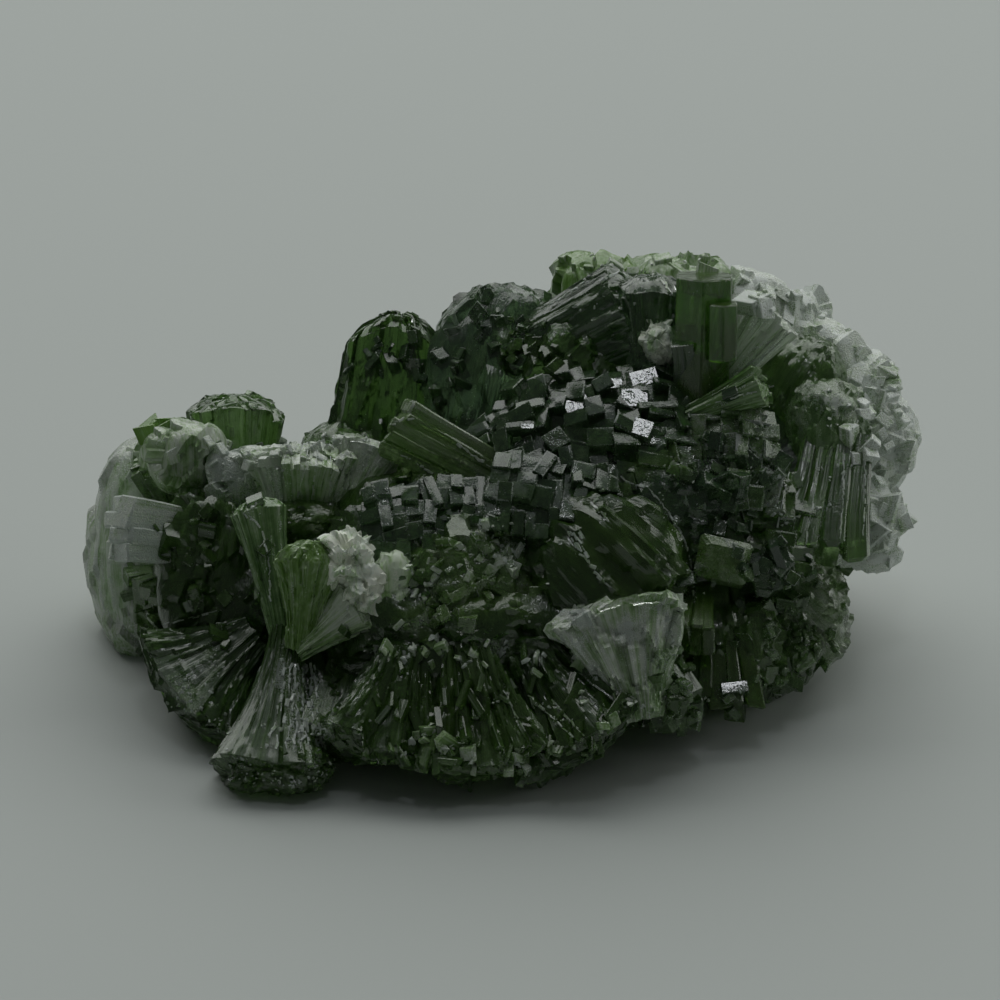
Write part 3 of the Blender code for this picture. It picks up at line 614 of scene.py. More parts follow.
def corner_vertices(mesh):
    """Which vertex each corner of the faces has."""
    loops = np.empty(len(mesh.loops), dtype=np.int32)
    mesh.loops.foreach_get("vertex_index", loops)
    return loops


def write_attributes(mesh, grain, growth, tint):
    """Store what the finish reads on the corners of a mesh."""
    tints = np.tile(tint, (len(mesh.loops), 1))
    for name, kind, part, values in (
        ("grain", "FLOAT_VECTOR", "vector", grain),
        ("growth", "FLOAT_COLOR", "color", growth),
        ("tint", "FLOAT_COLOR", "color", tints),
    ):
        stored = mesh.attributes.new(name, kind, "CORNER").data
        stored.foreach_set(part, np.asarray(values, dtype=np.float32).ravel())


def knee_between(foot, end, aim, reach, curl):
    """Middle control point of a crystal that bends away from its aim."""
    return ((foot + end) / 2.0).lerp(foot + aim * (0.5 * reach), curl)


def on_bend(foot, knee, end, share):
    """Place on the bend from the foot to the end."""
    rest = 1.0 - share
    return foot * rest ** 2 + knee * (2 * share * rest) + end * share ** 2


# ---------------------------------------------------------------- one blade

RINGS = 5
CORNERS = 8
CHAMFER_LIMIT = 0.3
BEVEL_LIMIT = 0.4


def blade_faces():
    """Faces of one blade, and which of them are chamfers."""
    faces, chamfers = [], []
    for ring in range(RINGS):
        for corner in range(CORNERS):
            here = ring * CORNERS + corner
            there = ring * CORNERS + (corner + 1) % CORNERS
            faces.append((here, there, there + CORNERS, here + CORNERS))
            chamfers.append(float(ring == RINGS - 1 or corner % 2 == 0))
    faces.append(tuple(range(CORNERS))[::-1])
    faces.append(tuple(RINGS * CORNERS + corner for corner in range(CORNERS)))
    return faces, chamfers + [0.0, 0.0]


BLADE_FACES, BLADE_CHAMFERS = blade_faces()
BLADE_ENDS = [0.0] * (len(BLADE_FACES) - 1) + [1.0]
FACE_SIZES = [len(face) for face in BLADE_FACES]
LOOP_VERTS = np.concatenate(BLADE_FACES)
LOOP_CHAMFERS = np.repeat(BLADE_CHAMFERS, FACE_SIZES)
LOOP_ENDS = np.repeat(BLADE_ENDS, FACE_SIZES)
RING_SHARES = [min(ring / (RINGS - 1), 1.0) for ring in range(RINGS + 1)]
LOOP_ALONG = np.repeat(RING_SHARES, CORNERS)[LOOP_VERTS]


def octagon(half_x, half_y, chamfer):
    """Corners of a rectangle whose corners are cut."""
    inner_x, inner_y = half_x - chamfer, half_y - chamfer
    return [
        (-half_x, -inner_y), (-inner_x, -half_y), (inner_x, -half_y), (half_x, -inner_y),
        (half_x, inner_y), (inner_x, half_y), (-inner_x, half_y), (-half_x, inner_y),
    ]


@dataclass
class Blade:
    """One chamfered crystal that bends from its foot to its end."""

    foot: Vector
    end: Vector
    aim: Vector
    plate: Vector
    foot_half: tuple
    end_half: tuple
    chamfer: float
    bevel: float
    curl: float = 0.0
    slopes: tuple = (0.0, 0.0)
    waver: float = 0.0

    def points(self, rng):
        """Places of all corners, and their places inside the blade."""
        reach = (self.end - self.foot).length
        knee = knee_between(self.foot, self.end, self.aim, reach, self.curl)
        places, inside = [], []
        for ring, share in enumerate(RING_SHARES):
            rest = 1.0 - share
            centre = on_bend(self.foot, knee, self.end, share)
            tangent = ((knee - self.foot) * rest + (self.end - knee) * share).normalized()
            axis_x = self.plate.cross(tangent).normalized()
            axis_y = tangent.cross(axis_x)
            half_x = self.foot_half[0] * rest + self.end_half[0] * share
            half_y = self.foot_half[1] * rest + self.end_half[1] * share
            if 0 < ring < RINGS:
                shift = [rng.gauss(0.0, self.waver) for _ in range(4)]
                centre = centre + axis_x * shift[0] + axis_y * shift[1]
                half_x, half_y = half_x + abs(shift[2]), half_y + abs(shift[3])
            smaller = min(half_x, half_y)
            chamfer = min(self.chamfer, CHAMFER_LIMIT * smaller)
            bevel = min(self.bevel, BEVEL_LIMIT * smaller) if ring == RINGS else 0.0
            slopes = self.slopes if ring >= RINGS - 1 else (0.0, 0.0)
            for x, y in octagon(half_x - bevel, half_y - bevel, chamfer):
                rise = bevel + (slopes[0] * x + slopes[1] * y)
                places.append(centre + axis_x * x + axis_y * y + tangent * rise)
                inside.append((x, y, share * reach + rise))
        return places, inside

    def mesh(self, name, tint, rng):
        """Closed mesh of the blade with its attributes."""
        places, inside = self.points(rng)
        made = bpy.data.meshes.new(name)
        made.from_pydata([place * MM for place in places], [], BLADE_FACES)
        grain = (np.array(inside) + grain_offset(rng))[LOOP_VERTS]
        random_part = np.full(len(LOOP_VERTS), rng.random())
        growth = np.column_stack((LOOP_ALONG, LOOP_CHAMFERS, random_part, LOOP_ENDS))
        write_attributes(made, grain, growth, tint)
        return made


# ------------------------------------------------------------- whole fans

FAN_OUTLINE = 0.35
LEAST_FORWARD = 0.1
RIM_MARGIN = 0.03
BEVEL_CHOICES = (1.0, 1.0, 1.6, 3.0)
JITTER_RANGE = (-1.2, 0.8)
LEAST_OVERLAP = 1.03
MORE_OVERLAP = 0.05


def uneven_cells(rng, columns, rows, uneven):
    """Split a square from -1 to 1 in uneven cells, about columns by rows."""
    cells = []
    pending = [((-1.0, 1.0, -1.0, 1.0), columns * rows)]
    while pending:
        (left, right, low, high), count = pending.pop()
        if count <= 1:
            cells.append((left, right, low, high))
            continue
        share = 0.5 + rng.uniform(-uneven, uneven)
        first = max(1, min(count - 1, round(count * share)))
        share = 0.5 * share + 0.5 * first / count
        if (right - left) * columns > (high - low) * rows:
            middle = left + (right - left) * share
            halves = ((left, middle, low, high), (middle, right, low, high))
        else:
            middle = low + (high - low) * share
            halves = ((left, right, low, middle), (left, right, middle, high))
        pending += [(halves[0], first), (halves[1], count - first)]
    return cells


def fan_axes(fan):
    """Waist, length, and the directions along, across and through a fan."""
    place = Vector if fan.turned_upright else upright
    waist = place(fan.waist) + CENTRE_SHIFT
    reach = place(fan.rim) + CENTRE_SHIFT - waist
    aim = reach.normalized()
    plate = aim.cross(place(fan.across)).normalized()
    return waist, reach.length, aim, plate.cross(aim).normalized(), plate


def fan_ray(fan, axes, across, through):
    """Foot of a crystal and the way it grows, from its place in the section."""
    waist, _, aim, side, plate = axes
    foot = waist + side * (0.5 * fan.size[0] * across) + plate * (0.5 * fan.size[1] * through)
    lean_side = math.sin(math.radians(fan.spread) * across)
    lean_plate = math.sin(math.radians(fan.flare) * through)
    forward = math.sqrt(max(1.0 - lean_side ** 2 - lean_plate ** 2, LEAST_FORWARD))
    return foot, side * lean_side + plate * lean_plate + aim * forward


def fan_blade(fan, axes, cell, rng):
    """The blade that fills one cell of a fan's section."""
    _, length, aim, side, plate = axes
    left, right, low, high = cell
    across, through = (left + right) / 2.0, (low + high) / 2.0
    squeeze = [math.sqrt(1.0 - FAN_OUTLINE * other ** 2 / 2.0) for other in (through, across)]
    shares = ((right - left) / 4.0 * squeeze[0], (high - low) / 4.0 * squeeze[1])
    across, through = across * squeeze[0], through * squeeze[1]
    foot, way = fan_ray(fan, axes, across, through)
    rounding = 1.0 - fan.rounding * (across ** 2 + through ** 2) / 2.0
    end = foot + way * (length * rounding * (1.0 + fan.jitter * rng.uniform(*JITTER_RANGE)))
    end += plate * rng.gauss(0.0, fan.step) + side * rng.gauss(0.0, fan.step)
    twist = Matrix.Rotation(rng.gauss(0.0, math.radians(fan.tilt) / 2.0), 3, aim)
    overlap = LEAST_OVERLAP + MORE_OVERLAP * rng.random()
    rim = [size + 2.0 * length * math.sin(math.radians(angle))
           for size, angle in zip(fan.size, (fan.spread, fan.flare))]
    return Blade(
        foot, end, aim, twist @ plate,
        [size * share * overlap for size, share in zip(fan.size, shares)],
        [size * share * overlap + RIM_MARGIN for size, share in zip(rim, shares)],
        fan.chamfer, fan.chamfer * rng.choice(BEVEL_CHOICES), fan.curl,
        (rng.uniform(-fan.slope, fan.slope), rng.uniform(-fan.slope, fan.slope)),
        0.5 * fan.step,
    )


def grow_fan(name, fan, crystals):
    """Grow all blades of one fan."""
    rng = random.Random(name)
    axes = fan_axes(fan)
    for index, cell in enumerate(uneven_cells(rng, *fan.grid, fan.uneven)):
        blade = fan_blade(fan, axes, cell, rng)
        add_crystal(f"{name}_{index}", blade.mesh(name, varied(fan.look, rng), rng), crystals)


# ----------------------------------------------------------- stepped faces

FACE_TILT = 0.5
FACE_STEP = 0.5


def facet_heights(places, rng):
    """Flat faces that step and tilt at random: height and tone of each place."""
    low, high = places.min(axis=0) - 1.0, places.max(axis=0) + 1.0
    count = int(np.prod(high - low))
    chance = np.random.default_rng(rng.getrandbits(32))
    seeds = chance.uniform(low, high, (count, 3))
    tilts = chance.normal(0.0, FACE_TILT, (count, 3))
    steps = chance.uniform(-FACE_STEP, FACE_STEP, count)
    tree = KDTree(count)
    for index, seed in enumerate(seeds):
        tree.insert(seed, index)
    tree.balance()
    nearest = np.array([tree.find(place)[1] for place in places])
    heights = steps[nearest] + np.einsum("ij,ij->i", tilts[nearest], places - seeds[nearest])
    return heights, chance.random(count)[nearest]


def raise_faces(mesh, inside, faces, rng):
    """Cut a smooth mesh in flat faces of several sizes; gives their tones."""
    places, normals = read_vertices(mesh), read_vertices(mesh, "normal")
    rise = np.zeros(len(mesh.vertices))
    tones = []
    for across, along, height in faces:
        heights, tone = facet_heights(inside / (across, across, along), rng)
        rise += height * heights
        tones.append(tone)
    mesh.vertices.foreach_set("co", (places + normals * rise[:, None] * MM).ravel())
    mesh.update()
    return tones[0]


def rounded_body(name, mass, place):
    """Smooth closed body of a mass, and its vertices in the mass's own axes."""
    shape = bmesh.new()
    bmesh.ops.create_icosphere(shape, subdivisions=mass.detail, radius=1.0)
    made = mesh_from(name, shape)
    ways = read_vertices(made)
    outline = (np.abs(ways[:, :2]) ** mass.squareness).sum(axis=1, keepdims=True)
    outline = outline ** (1.0 / mass.squareness)
    fullness = mass.fullness or mass.squareness
    solid = outline ** fullness + np.abs(ways[:, 2:]) ** fullness
    turn = np.array(Matrix.Rotation(-math.radians(mass.turn), 3, "Z"))
    local = ways / solid ** (1.0 / fullness) * mass.half_sizes @ turn
    centre = np.array(place(mass.centre) + CENTRE_SHIFT)
    made.vertices.foreach_set("co", ((local @ layout_rows(place) + centre) * MM).ravel())
    if not mass.turned_upright:
        made.flip_normals()
    made.update()
    return made, local


def grow_mass(name, mass, crystals):
    """Grow one faceted mass."""
    rng = random.Random(name)
    made, local = rounded_body(name, mass, Vector if mass.turned_upright else upright)
    inside = local @ np.array(Vector(mass.along).to_track_quat("Z", "Y").to_matrix())
    tones = raise_faces(made, inside, mass.faces, rng)
    loops = corner_vertices(made)
    along = (inside[:, 2] - inside[:, 2].min()) / np.ptp(inside[:, 2])
    nothing = np.zeros(len(loops))
    growth = np.column_stack((along[loops], nothing, tones[loops], nothing))
    grain = inside[loops] + rng.uniform(-GRAIN_REACH, GRAIN_REACH)
    write_attributes(made, grain, growth, varied(mass.look, rng))
    add_crystal(name, made, crystals)


# ------------------------------------------------------------------ lobes

LOBE_AROUND = 160
LOBE_ALONG = 30
LOBE_CAP = 12
LOBE_RINGS = [(ring / LOBE_ALONG, 1.0) for ring in range(LOBE_ALONG + 1)] + [
    (1.0, math.cos(0.5 * math.pi * ring / LOBE_CAP)) for ring in range(1, LOBE_CAP)
]
LOBE_SHARES = np.array([share for share, _ in LOBE_RINGS for _ in range(LOBE_AROUND)] + [0.0, 1.0])
RIB_EDGE = 1.5
RIB_REACH = 1.3
CAP_START = 0.8
CAP_SPAN = 0.2
CAP_DROP = 0.10
FOOT_SWELL = 0.3
RIB_HEIGHTS = (0.6, 1.0, 0.6)


def lobe_faces():
    """Faces of every lobe, and which of them are on its end."""
    foot = len(LOBE_RINGS) * LOBE_AROUND
    last = foot - LOBE_AROUND
    faces, ends = [], []
    for ring in range(len(LOBE_RINGS) - 1):
        for step in range(LOBE_AROUND):
            here = ring * LOBE_AROUND + step
            there = ring * LOBE_AROUND + (step + 1) % LOBE_AROUND
            faces.append((here, there, there + LOBE_AROUND, here + LOBE_AROUND))
            ends.append(float(ring >= LOBE_ALONG))
    for step in range(LOBE_AROUND):
        there = (step + 1) % LOBE_AROUND
        faces += [(foot, there, step), (foot + 1, last + step, last + there)]
        ends += [0.0, 1.0]
    return faces, ends


LOBE_FACES, LOBE_ENDS = lobe_faces()
LOBE_LOOP_ENDS = np.repeat(LOBE_ENDS, [len(face) for face in LOBE_FACES])


def lobe_section(lobe, rng):
    """Steps round a lobe: across, through, swell and reach of the rib there."""
    rib_count, rib_depth = lobe.ribs
    edges = sorted(rng.random() for _ in range(rib_count))
    heights, slants, reaches = (
        [rng.uniform(-1.0, high) for _ in range(rib_count + 1)] for high in RIB_HEIGHTS
    )
    power = 2.0 / lobe.squareness
    section = []
    for step in range(LOBE_AROUND):
        turn = 2.0 * math.pi * step / LOBE_AROUND
        c, s = math.cos(turn), math.sin(turn)
        rib = sum(edge < step / LOBE_AROUND for edge in edges) % rib_count
        within = (step / LOBE_AROUND - edges[rib - 1]) % 1.0 * rib_count - 0.5
        swell = rib_depth * (heights[rib] + slants[rib] * min(within, RIB_EDGE))
        section.append((math.copysign(abs(c) ** power, c), math.copysign(abs(s) ** power, s),
                        swell, RIB_REACH * rib_depth * reaches[rib]))
    return section


def lobe_places(lobe, axes, section):
    """Vertices of a lobe, and their places inside it."""
    _, length, aim, side, plate = axes
    half_rim = (lobe.size[0] + 2.0 * length * math.sin(math.radians(lobe.spread))) * 0.5
    places, inside = [], []
    for share, shrink in LOBE_RINGS:
        drop = CAP_DROP * length * lobe.rounding * max(shrink - CAP_START, 0.0) / CAP_SPAN
        for a, b, swell, rib_reach in section:
            foot, way = fan_ray(lobe, axes, a * shrink, b * shrink)
            bulge = lobe.rounding * shrink ** 2 * (a * a + lobe.backing * b * b) / 2.0
            reach = length * (1.0 - bulge) - drop + rib_reach * shrink
            end = foot + way * reach
            knee = knee_between(foot, end, aim, reach, lobe.curl)
            point = on_bend(foot, knee, end, share)
            out = (side * a + plate * b).normalized()
            swell_here = swell * (FOOT_SWELL + (1.0 - FOOT_SWELL) * share) * shrink
            places.append(point + out * swell_here)
            inside.append((half_rim * a * shrink, half_rim * b * shrink, share * length))
    foot, way = fan_ray(lobe, axes, 0.0, 0.0)
    places += [foot, foot + way * length]
    return places, np.array(inside + [(0.0, 0.0, 0.0), (0.0, 0.0, length)])


def turned_outwards(mesh):
    """Make the faces of a closed mesh look outwards."""
    shape = bmesh.new()
    shape.from_mesh(mesh)
    if shape.calc_volume(signed=True) < 0.0:
        mesh.flip_normals()
    shape.free()


def grow_lobe(name, lobe, crystals):
    """Grow a ribbed body with a rounded, stepped end."""
    rng = random.Random(name)
    places, inside = lobe_places(lobe, fan_axes(lobe), lobe_section(lobe, rng))
    made = bpy.data.meshes.new(name)
    made.from_pydata([place * MM for place in places], [], LOBE_FACES)
    turned_outwards(made)
    tones = raise_faces(made, inside, lobe.faces, rng)
    loops = corner_vertices(made)
    grain = (inside + grain_offset(rng))[loops]
    growth = np.column_stack((LOBE_SHARES[loops], np.zeros(len(loops)), tones[loops],
                              LOBE_LOOP_ENDS))
    write_attributes(made, grain, growth, varied(lobe.look, rng))
    add_crystal(name, made, crystals)


# ---------------------------------------------------------- joined pieces

SHARP_ANGLE = math.radians(26.0)
GROUND_SIZE = (0.2, 0.2, 0.04)
PATCH_EDGE = 0.7
TINT_LIMIT = 1.2


def crystal_collection(name):
    """A collection for crystals that are about to be joined."""
    made = bpy.data.collections.new(name)
    bpy.context.scene.collection.children.link(made)
    return made


def add_crystal(name, mesh, crystals):
    """Put one crystal in the collection that is joined later."""
    crystals.objects.link(bpy.data.objects.new(name, mesh))


def ground_block():
    """Everything below the surface that the specimen rests on."""
    shape = bmesh.new()
    bmesh.ops.create_cube(shape, size=1.0)
    down = Matrix.Translation((0.0, 0.0, -0.5 * GROUND_SIZE[2]))
    shape.transform(down @ Matrix.Diagonal((*GROUND_SIZE, 1.0)))
    block = bpy.data.objects.new("ground_block", mesh_from("ground_block", shape))
    bpy.context.scene.collection.objects.link(block)
    return block


def paint_patches(mesh):
    """Change the tint in soft patches, placed as the camera sees them."""
    turn = layout_rows(upright)
    places = (read_vertices(mesh) / MM - np.array(CENTRE_SHIFT)) @ turn.T
    nearer = CAMERA_DISTANCE / (CAMERA_DISTANCE + MM * places[:, 2])
    right = AIM_POINT[0] + (places[:, 0] - AIM_POINT[0]) * nearer
    up = AIM_POINT[1] + (places[:, 1] - AIM_POINT[1]) * nearer
    change = np.zeros((len(mesh.vertices), 4))
    for tint, spots in PATCHES.values():
        strength = np.zeros(len(mesh.vertices))
        for spot_right, spot_up, reach_right, reach_up in spots:
            away = ((right - spot_right) / reach_right) ** 2 + ((up - spot_up) / reach_up) ** 2
            strength = np.maximum(strength, np.exp(-away ** 2 * PATCH_EDGE))
        change += strength[:, None] * tint
    stored = mesh.attributes["tint"].data
    tints = np.empty(4 * len(mesh.loops), dtype=np.float32)
    stored.foreach_get("color", tints)
    tints = np.clip(tints.reshape(-1, 4) + change[corner_vertices(mesh)], 0.0, TINT_LIMIT)
    stored.foreach_set("color", tints.astype(np.float32).ravel())


def join_crystals(name, crystals, block):
    """Join all crystals of a collection in one closed mesh, cut flat below."""
    first = crystals.objects[0]
    piece = bpy.data.objects.new(name, first.data)
    bpy.data.objects.remove(first)
    bpy.context.scene.collection.objects.link(piece)
    union = piece.modifiers.new("union", "BOOLEAN")
    union.operation = "UNION"
    union.operand_type = "COLLECTION"
    union.collection = crystals
    cut = piece.modifiers.new("cut", "BOOLEAN")
    cut.operation = "DIFFERENCE"
    cut.object = block
    union.solver = cut.solver = "MANIFOLD"
    graph = bpy.context.evaluated_depsgraph_get()
    piece.data = bpy.data.meshes.new_from_object(piece.evaluated_get(graph))
    piece.modifiers.clear()
    piece.data.shade_smooth()
    piece.data.set_sharp_from_angle(angle=SHARP_ANGLE)
    for item in list(crystals.objects):
        mesh = item.data
        bpy.data.objects.remove(item)
        bpy.data.meshes.remove(mesh)
    bpy.data.collections.remove(crystals)
    return piece


def finish_piece(name, crystals, material, block):
    """Join a piece and give it its patches, material, body and slot."""
    piece = join_crystals(name, crystals, block)
    paint_patches(piece.data)
    piece.data.materials.clear()
    piece.data.materials.append(material)
    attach(piece, "root")
    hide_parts(NODE)
    return piece


GROWERS = {Fan: grow_fan, Lobe: grow_lobe, Mass: grow_mass}


def grown_piece(name, table, material, block):
    """Grow the fans, lobes and masses of one piece."""
    crystals = crystal_collection(f"{name}_crystals")
    for crystal_name, crystal in table.items():
        GROWERS[type(crystal)](crystal_name, crystal, crystals)
    return finish_piece(name, crystals, material, block)


def hexagonal_prism(name, base, top, radius):
    """Closed mesh of one upright hexagonal prism."""
    base, top = upright(base) + CENTRE_SHIFT, upright(top) + CENTRE_SHIFT
    axis = top - base
    shape = bmesh.new()
    bmesh.ops.create_cone(
        shape, cap_ends=True, segments=6, radius1=radius, radius2=radius, depth=axis.length,
    )
    bmesh.ops.bevel(shape, geom=list(shape.edges), offset=PRISM_BEVEL, segments=1, affect="EDGES")
    turn = axis.to_track_quat("Z", "Y").to_matrix().to_4x4()
    shape.transform(Matrix.Scale(MM, 4) @ Matrix.Translation((base + top) / 2.0) @ turn)
    mesh = mesh_from(name, shape)
    corners = read_vertices(mesh)[corner_vertices(mesh)] / MM
    heights = (corners[:, 2] - corners[:, 2].min()) / np.ptp(corners[:, 2])
    nothing = np.zeros(len(corners))
    growth = np.column_stack((heights, nothing, nothing + 0.5, nothing))
    write_attributes(mesh, corners, growth, LOOKS["olive"])
    return mesh


def prism_piece(material, block):
    """The upright hexagonal prism and the lower one grown on it."""
    crystals = crystal_collection("prism_crystals")
    for index, prism in enumerate(PRISMS):
        add_crystal(f"prism_{index}", hexagonal_prism("prism", *prism), crystals)
    return finish_piece("upright_prism", crystals, material, block)


# --------------------------------------------- small crystals on the surface

SPOT_SPREAD = 0.6
# Look of the small white crystals, painted highlights among them.
FROST_AND_HIGHLIGHT_LOOK = "white"
FROST_FLOOR = 0.5
CHIP_CORNERS = 9
CHIP_DENSITY = 0.7
CHIP_SCALE = 0.7
CHIP_LEAN = 0.5
CHIP_WIDTHS = (0.4, 0.9)
CHIP_HEIGHTS = (0.35, 1.0)
SEAM_STEP = 0.4
SEAM_OVERLAP = 0.2
SEAM_SCALE = 0.7
SEAM_SPREAD = 0.5
SEAM_WIDTHS = (0.3, 1.5)
SEAM_TAPERS = (0.5, 1.2)
SEAM_FLATNESS = 0.7
SEAM_TRIM = (0.04, 0.05)
SEAM_LEAST = 0.05
SEAM_GAP = 0.1
SEAM_GAPS = {"skirt_streaks": 0.35}
DRUSE_FLOOR = 0.8
DRUSE_LEAN = 0.4
DRUSE_SLOPE = 0.5
DRUSE_ROOT = 2.0
DRUSE_RANGE = (0.4, 1.0)
DRUSE_TRIM = (0.05, 0.06)


class Surface:
    """What is seen of the specimen from the show side."""

    def __init__(self, pieces, eye):
        places, faces = [], []
        for piece in pieces:
            start = len(places)
            places += [vertex.co / MM for vertex in piece.data.vertices]
            faces += [[start + index for index in face.vertices] for face in piece.data.polygons]
        self.tree = BVHTree.FromPolygons(places, faces)
        self.eye = eye / MM

    def hit(self, right, up):
        """Place and outward direction of the surface at a layout place."""
        aim = upright((right, up, 0.0)) + CENTRE_SHIFT - self.eye
        return self.tree.ray_cast(self.eye, aim)[:2]

    def hit_near(self, place, reach, spread, rng):
        """The same near a layout place, at random."""
        return self.hit(place[0] + rng.gauss(0.0, spread) * reach[0],
                        place[1] + rng.gauss(0.0, spread) * reach[1])


def chip_mesh(name, place, out, half, rng):
    """One irregular splinter that sits on the surface."""
    side = out.orthogonal().normalized()
    side = Matrix.Rotation(rng.uniform(0.0, math.pi), 3, out) @ side
    other = out.cross(side)
    sizes = (half, half * rng.uniform(*CHIP_WIDTHS), half * rng.uniform(*CHIP_HEIGHTS))
    shape = bmesh.new()
    for _ in range(CHIP_CORNERS):
        way = random_vector(rng).normalized()
        corner = place + side * (way.x * sizes[0]) + other * (way.y * sizes[1])
        shape.verts.new((corner + out * (way.z * sizes[2])) * MM)
    hull = bmesh.ops.convex_hull(shape, input=shape.verts)
    loose = [item for item in hull["geom_interior"] if isinstance(item, bmesh.types.BMVert)]
    bmesh.ops.delete(shape, geom=loose, context="VERTS")
    made = mesh_from(name, shape)
    corners = read_vertices(made)[corner_vertices(made)] / MM
    growth = np.tile((1.0, 0.0, rng.random(), 0.0), (len(made.loops), 1))
    write_attributes(made, corners, growth, varied(FROST_AND_HIGHLIGHT_LOOK, rng))
    return made


def grow_spots(name, surface, crystals):
    """Sprinkle splinters on the surface round some spots."""
    rng = random.Random(name)
    narrowest, widest, spots = FROST_AND_HIGHLIGHT_SPOTS[name]
    for right, up, reach_right, reach_up, count in spots:
        for index in range(round(CHIP_DENSITY * count)):
            place, normal = surface.hit_near(
                (right, up), (reach_right, reach_up), SPOT_SPREAD, rng)
            if place is None or place.z < FROST_FLOOR:
                continue
            lean = random_vector(rng) * CHIP_LEAN
            half = CHIP_SCALE * narrowest * (widest / narrowest) ** rng.random()
            mesh = chip_mesh(name, place, (normal + lean).normalized(), half, rng)
            add_crystal(f"{name}_{index}", mesh, crystals)


def seam_steps(path):
    """Where each sliver along a path of a seam starts and ends."""
    for (right, up), (next_right, next_up) in zip(path, path[1:]):
        steps = max(1, round(math.hypot(next_right - right, next_up - up) / SEAM_STEP))
        for index in range(steps):
            yield index, [
                (right + (next_right - right) * share, up + (next_up - up) * share)
                for share in (index / steps, (index + 1.0 + SEAM_OVERLAP) / steps)
            ]


def grow_seams(name, surface, crystals):
    """Lay thin slivers along cracks and edges, and the skirt's painted highlight streaks."""
    rng = random.Random(name)
    half, paths = FROST_AND_HIGHLIGHT_SEAMS[name]
    for path in paths:
        for index, places in seam_steps(path):
            if rng.random() < SEAM_GAPS.get(name, SEAM_GAP):
                continue
            ends = [surface.hit_near(place, (half, half), SEAM_SPREAD, rng) for place in places]
            if ends[0][0] is None or ends[1][0] is None:
                continue
            (foot, normal), (end, _) = ends
            if not SEAM_LEAST <= (end - foot).length <= 3.0 * SEAM_STEP:
                continue
            width = SEAM_SCALE * half * rng.uniform(*SEAM_WIDTHS)
            end_width = width * rng.uniform(*SEAM_TAPERS)
            flat = width * SEAM_FLATNESS
            blade = Blade(foot, end, (end - foot).normalized(), normal,
                          (width, flat), (end_width, flat), *SEAM_TRIM)
            mesh = blade.mesh(name, varied(FROST_AND_HIGHLIGHT_LOOK, rng), rng)
            add_crystal(f"{name}_{index}", mesh, crystals)


def frost_and_highlight_piece(surface, material, block):
    """Grow all small white crystals in one piece, painted highlights among them."""
    crystals = crystal_collection("frost_and_highlight_splinters")
    for name in FROST_AND_HIGHLIGHT_SPOTS:
        grow_spots(name, surface, crystals)
    for name in FROST_AND_HIGHLIGHT_SEAMS:
        grow_seams(name, surface, crystals)
    return finish_piece("frost_and_highlight_crystals", crystals, material, block)


def bright_plates_piece(surface, material, block):
    """Grow the plates that face the small bright light."""
    crystals = crystal_collection("plates")
    rng = random.Random("bright_plates")
    for index, (right, up, half_right, half_up, roll) in enumerate(BRIGHT_PLATES):
        place, _ = surface.hit(right, up)
        towards = (Vector(GLINT_PLACE) / MM - place).normalized()
        out = (towards + (surface.eye - place).normalized()).normalized()
        side = Matrix.Rotation(math.radians(roll), 3, out) @ Vector(X_AXIS)
        half = (half_right, half_up * PLATE_FORESHORTENING)
        blade = Blade(place - out * PLATE_ROOT, place + out * PLATE_RISE, out,
                      out.cross(side).normalized(), half, half, *PLATE_TRIM)
        mesh = blade.mesh("bright_plate", PLATE_LOOK, rng)
        add_crystal(f"bright_plate_{index}", mesh, crystals)
    return finish_piece("bright_plates", crystals, material, block)


def druse_blade(druse, place, normal, rng):
    """One small blade that stands out of the surface."""
    _, along, (narrowest, widest), slenderness, _ = druse
    lean = random_vector(rng) * DRUSE_LEAN
    way = (normal + upright(along) + lean).normalized()
    turn = Matrix.Rotation(rng.uniform(0.0, math.pi), 3, way)
    plate = turn @ way.orthogonal().normalized()
    half = narrowest * (widest / narrowest) ** rng.random()
    size = (half, half * rng.uniform(*DRUSE_RANGE))
    end = place + way * (half * slenderness * rng.uniform(*DRUSE_RANGE))
    slopes = (rng.uniform(-DRUSE_SLOPE, DRUSE_SLOPE), rng.uniform(-DRUSE_SLOPE, DRUSE_SLOPE))
    return Blade(place - way * DRUSE_ROOT * half, end, way, plate, size, size, *DRUSE_TRIM,
                 slopes=slopes)


def druse_piece(name, druses, surface, material, block):
    """Let small blades stand out of the surface round some spots."""
    crystals = crystal_collection(f"{name}_blades")
    for druse_name, druse in druses.items():
        rng = random.Random(druse_name)
        for right, up, reach_right, reach_up, count in druse[-1]:
            for _ in range(count):
                place, normal = surface.hit_near(
                    (right, up), (reach_right, reach_up), SPOT_SPREAD, rng)
                if place is None or place.z < DRUSE_FLOOR:
                    continue
                blade = druse_blade(druse, place, normal, rng)
                mesh = blade.mesh(druse_name, varied(druse[0], rng), rng)
                add_crystal(druse_name, mesh, crystals)
    return finish_piece(name, crystals, material, block)


# --------------------------------------------------------------- materials

PREHNITE_IOR = 1.63
GRIT_HEIGHT = 0.06
# How far the frosted coat, painted highlights included, covers the stone's colour.
DUST_AND_HIGHLIGHT_COVER = 0.8
END_POLISH = -0.1
WISP_ROUGHNESS = 0.12
NUMBER, VECTOR, COLOUR = "NodeSocketFloat", "NodeSocketVector", "NodeSocketColor"

# Colours that light takes on in the stone, from its darkest to its palest.
STONE_COLOURS = (
    (0.0, (0.035, 0.10, 0.018, 1.0)),
    (0.3, (0.11, 0.24, 0.05, 1.0)),
    (0.55, (0.26, 0.44, 0.16, 1.0)),
    (0.8, (0.58, 0.72, 0.48, 1.0)),
    (1.0, (0.86, 0.92, 0.82, 1.0)),
)
OLIVE_COLOUR = (0.26, 0.48, 0.06, 1.0)
GREY_COLOUR = (0.14, 0.19, 0.17, 1.0)
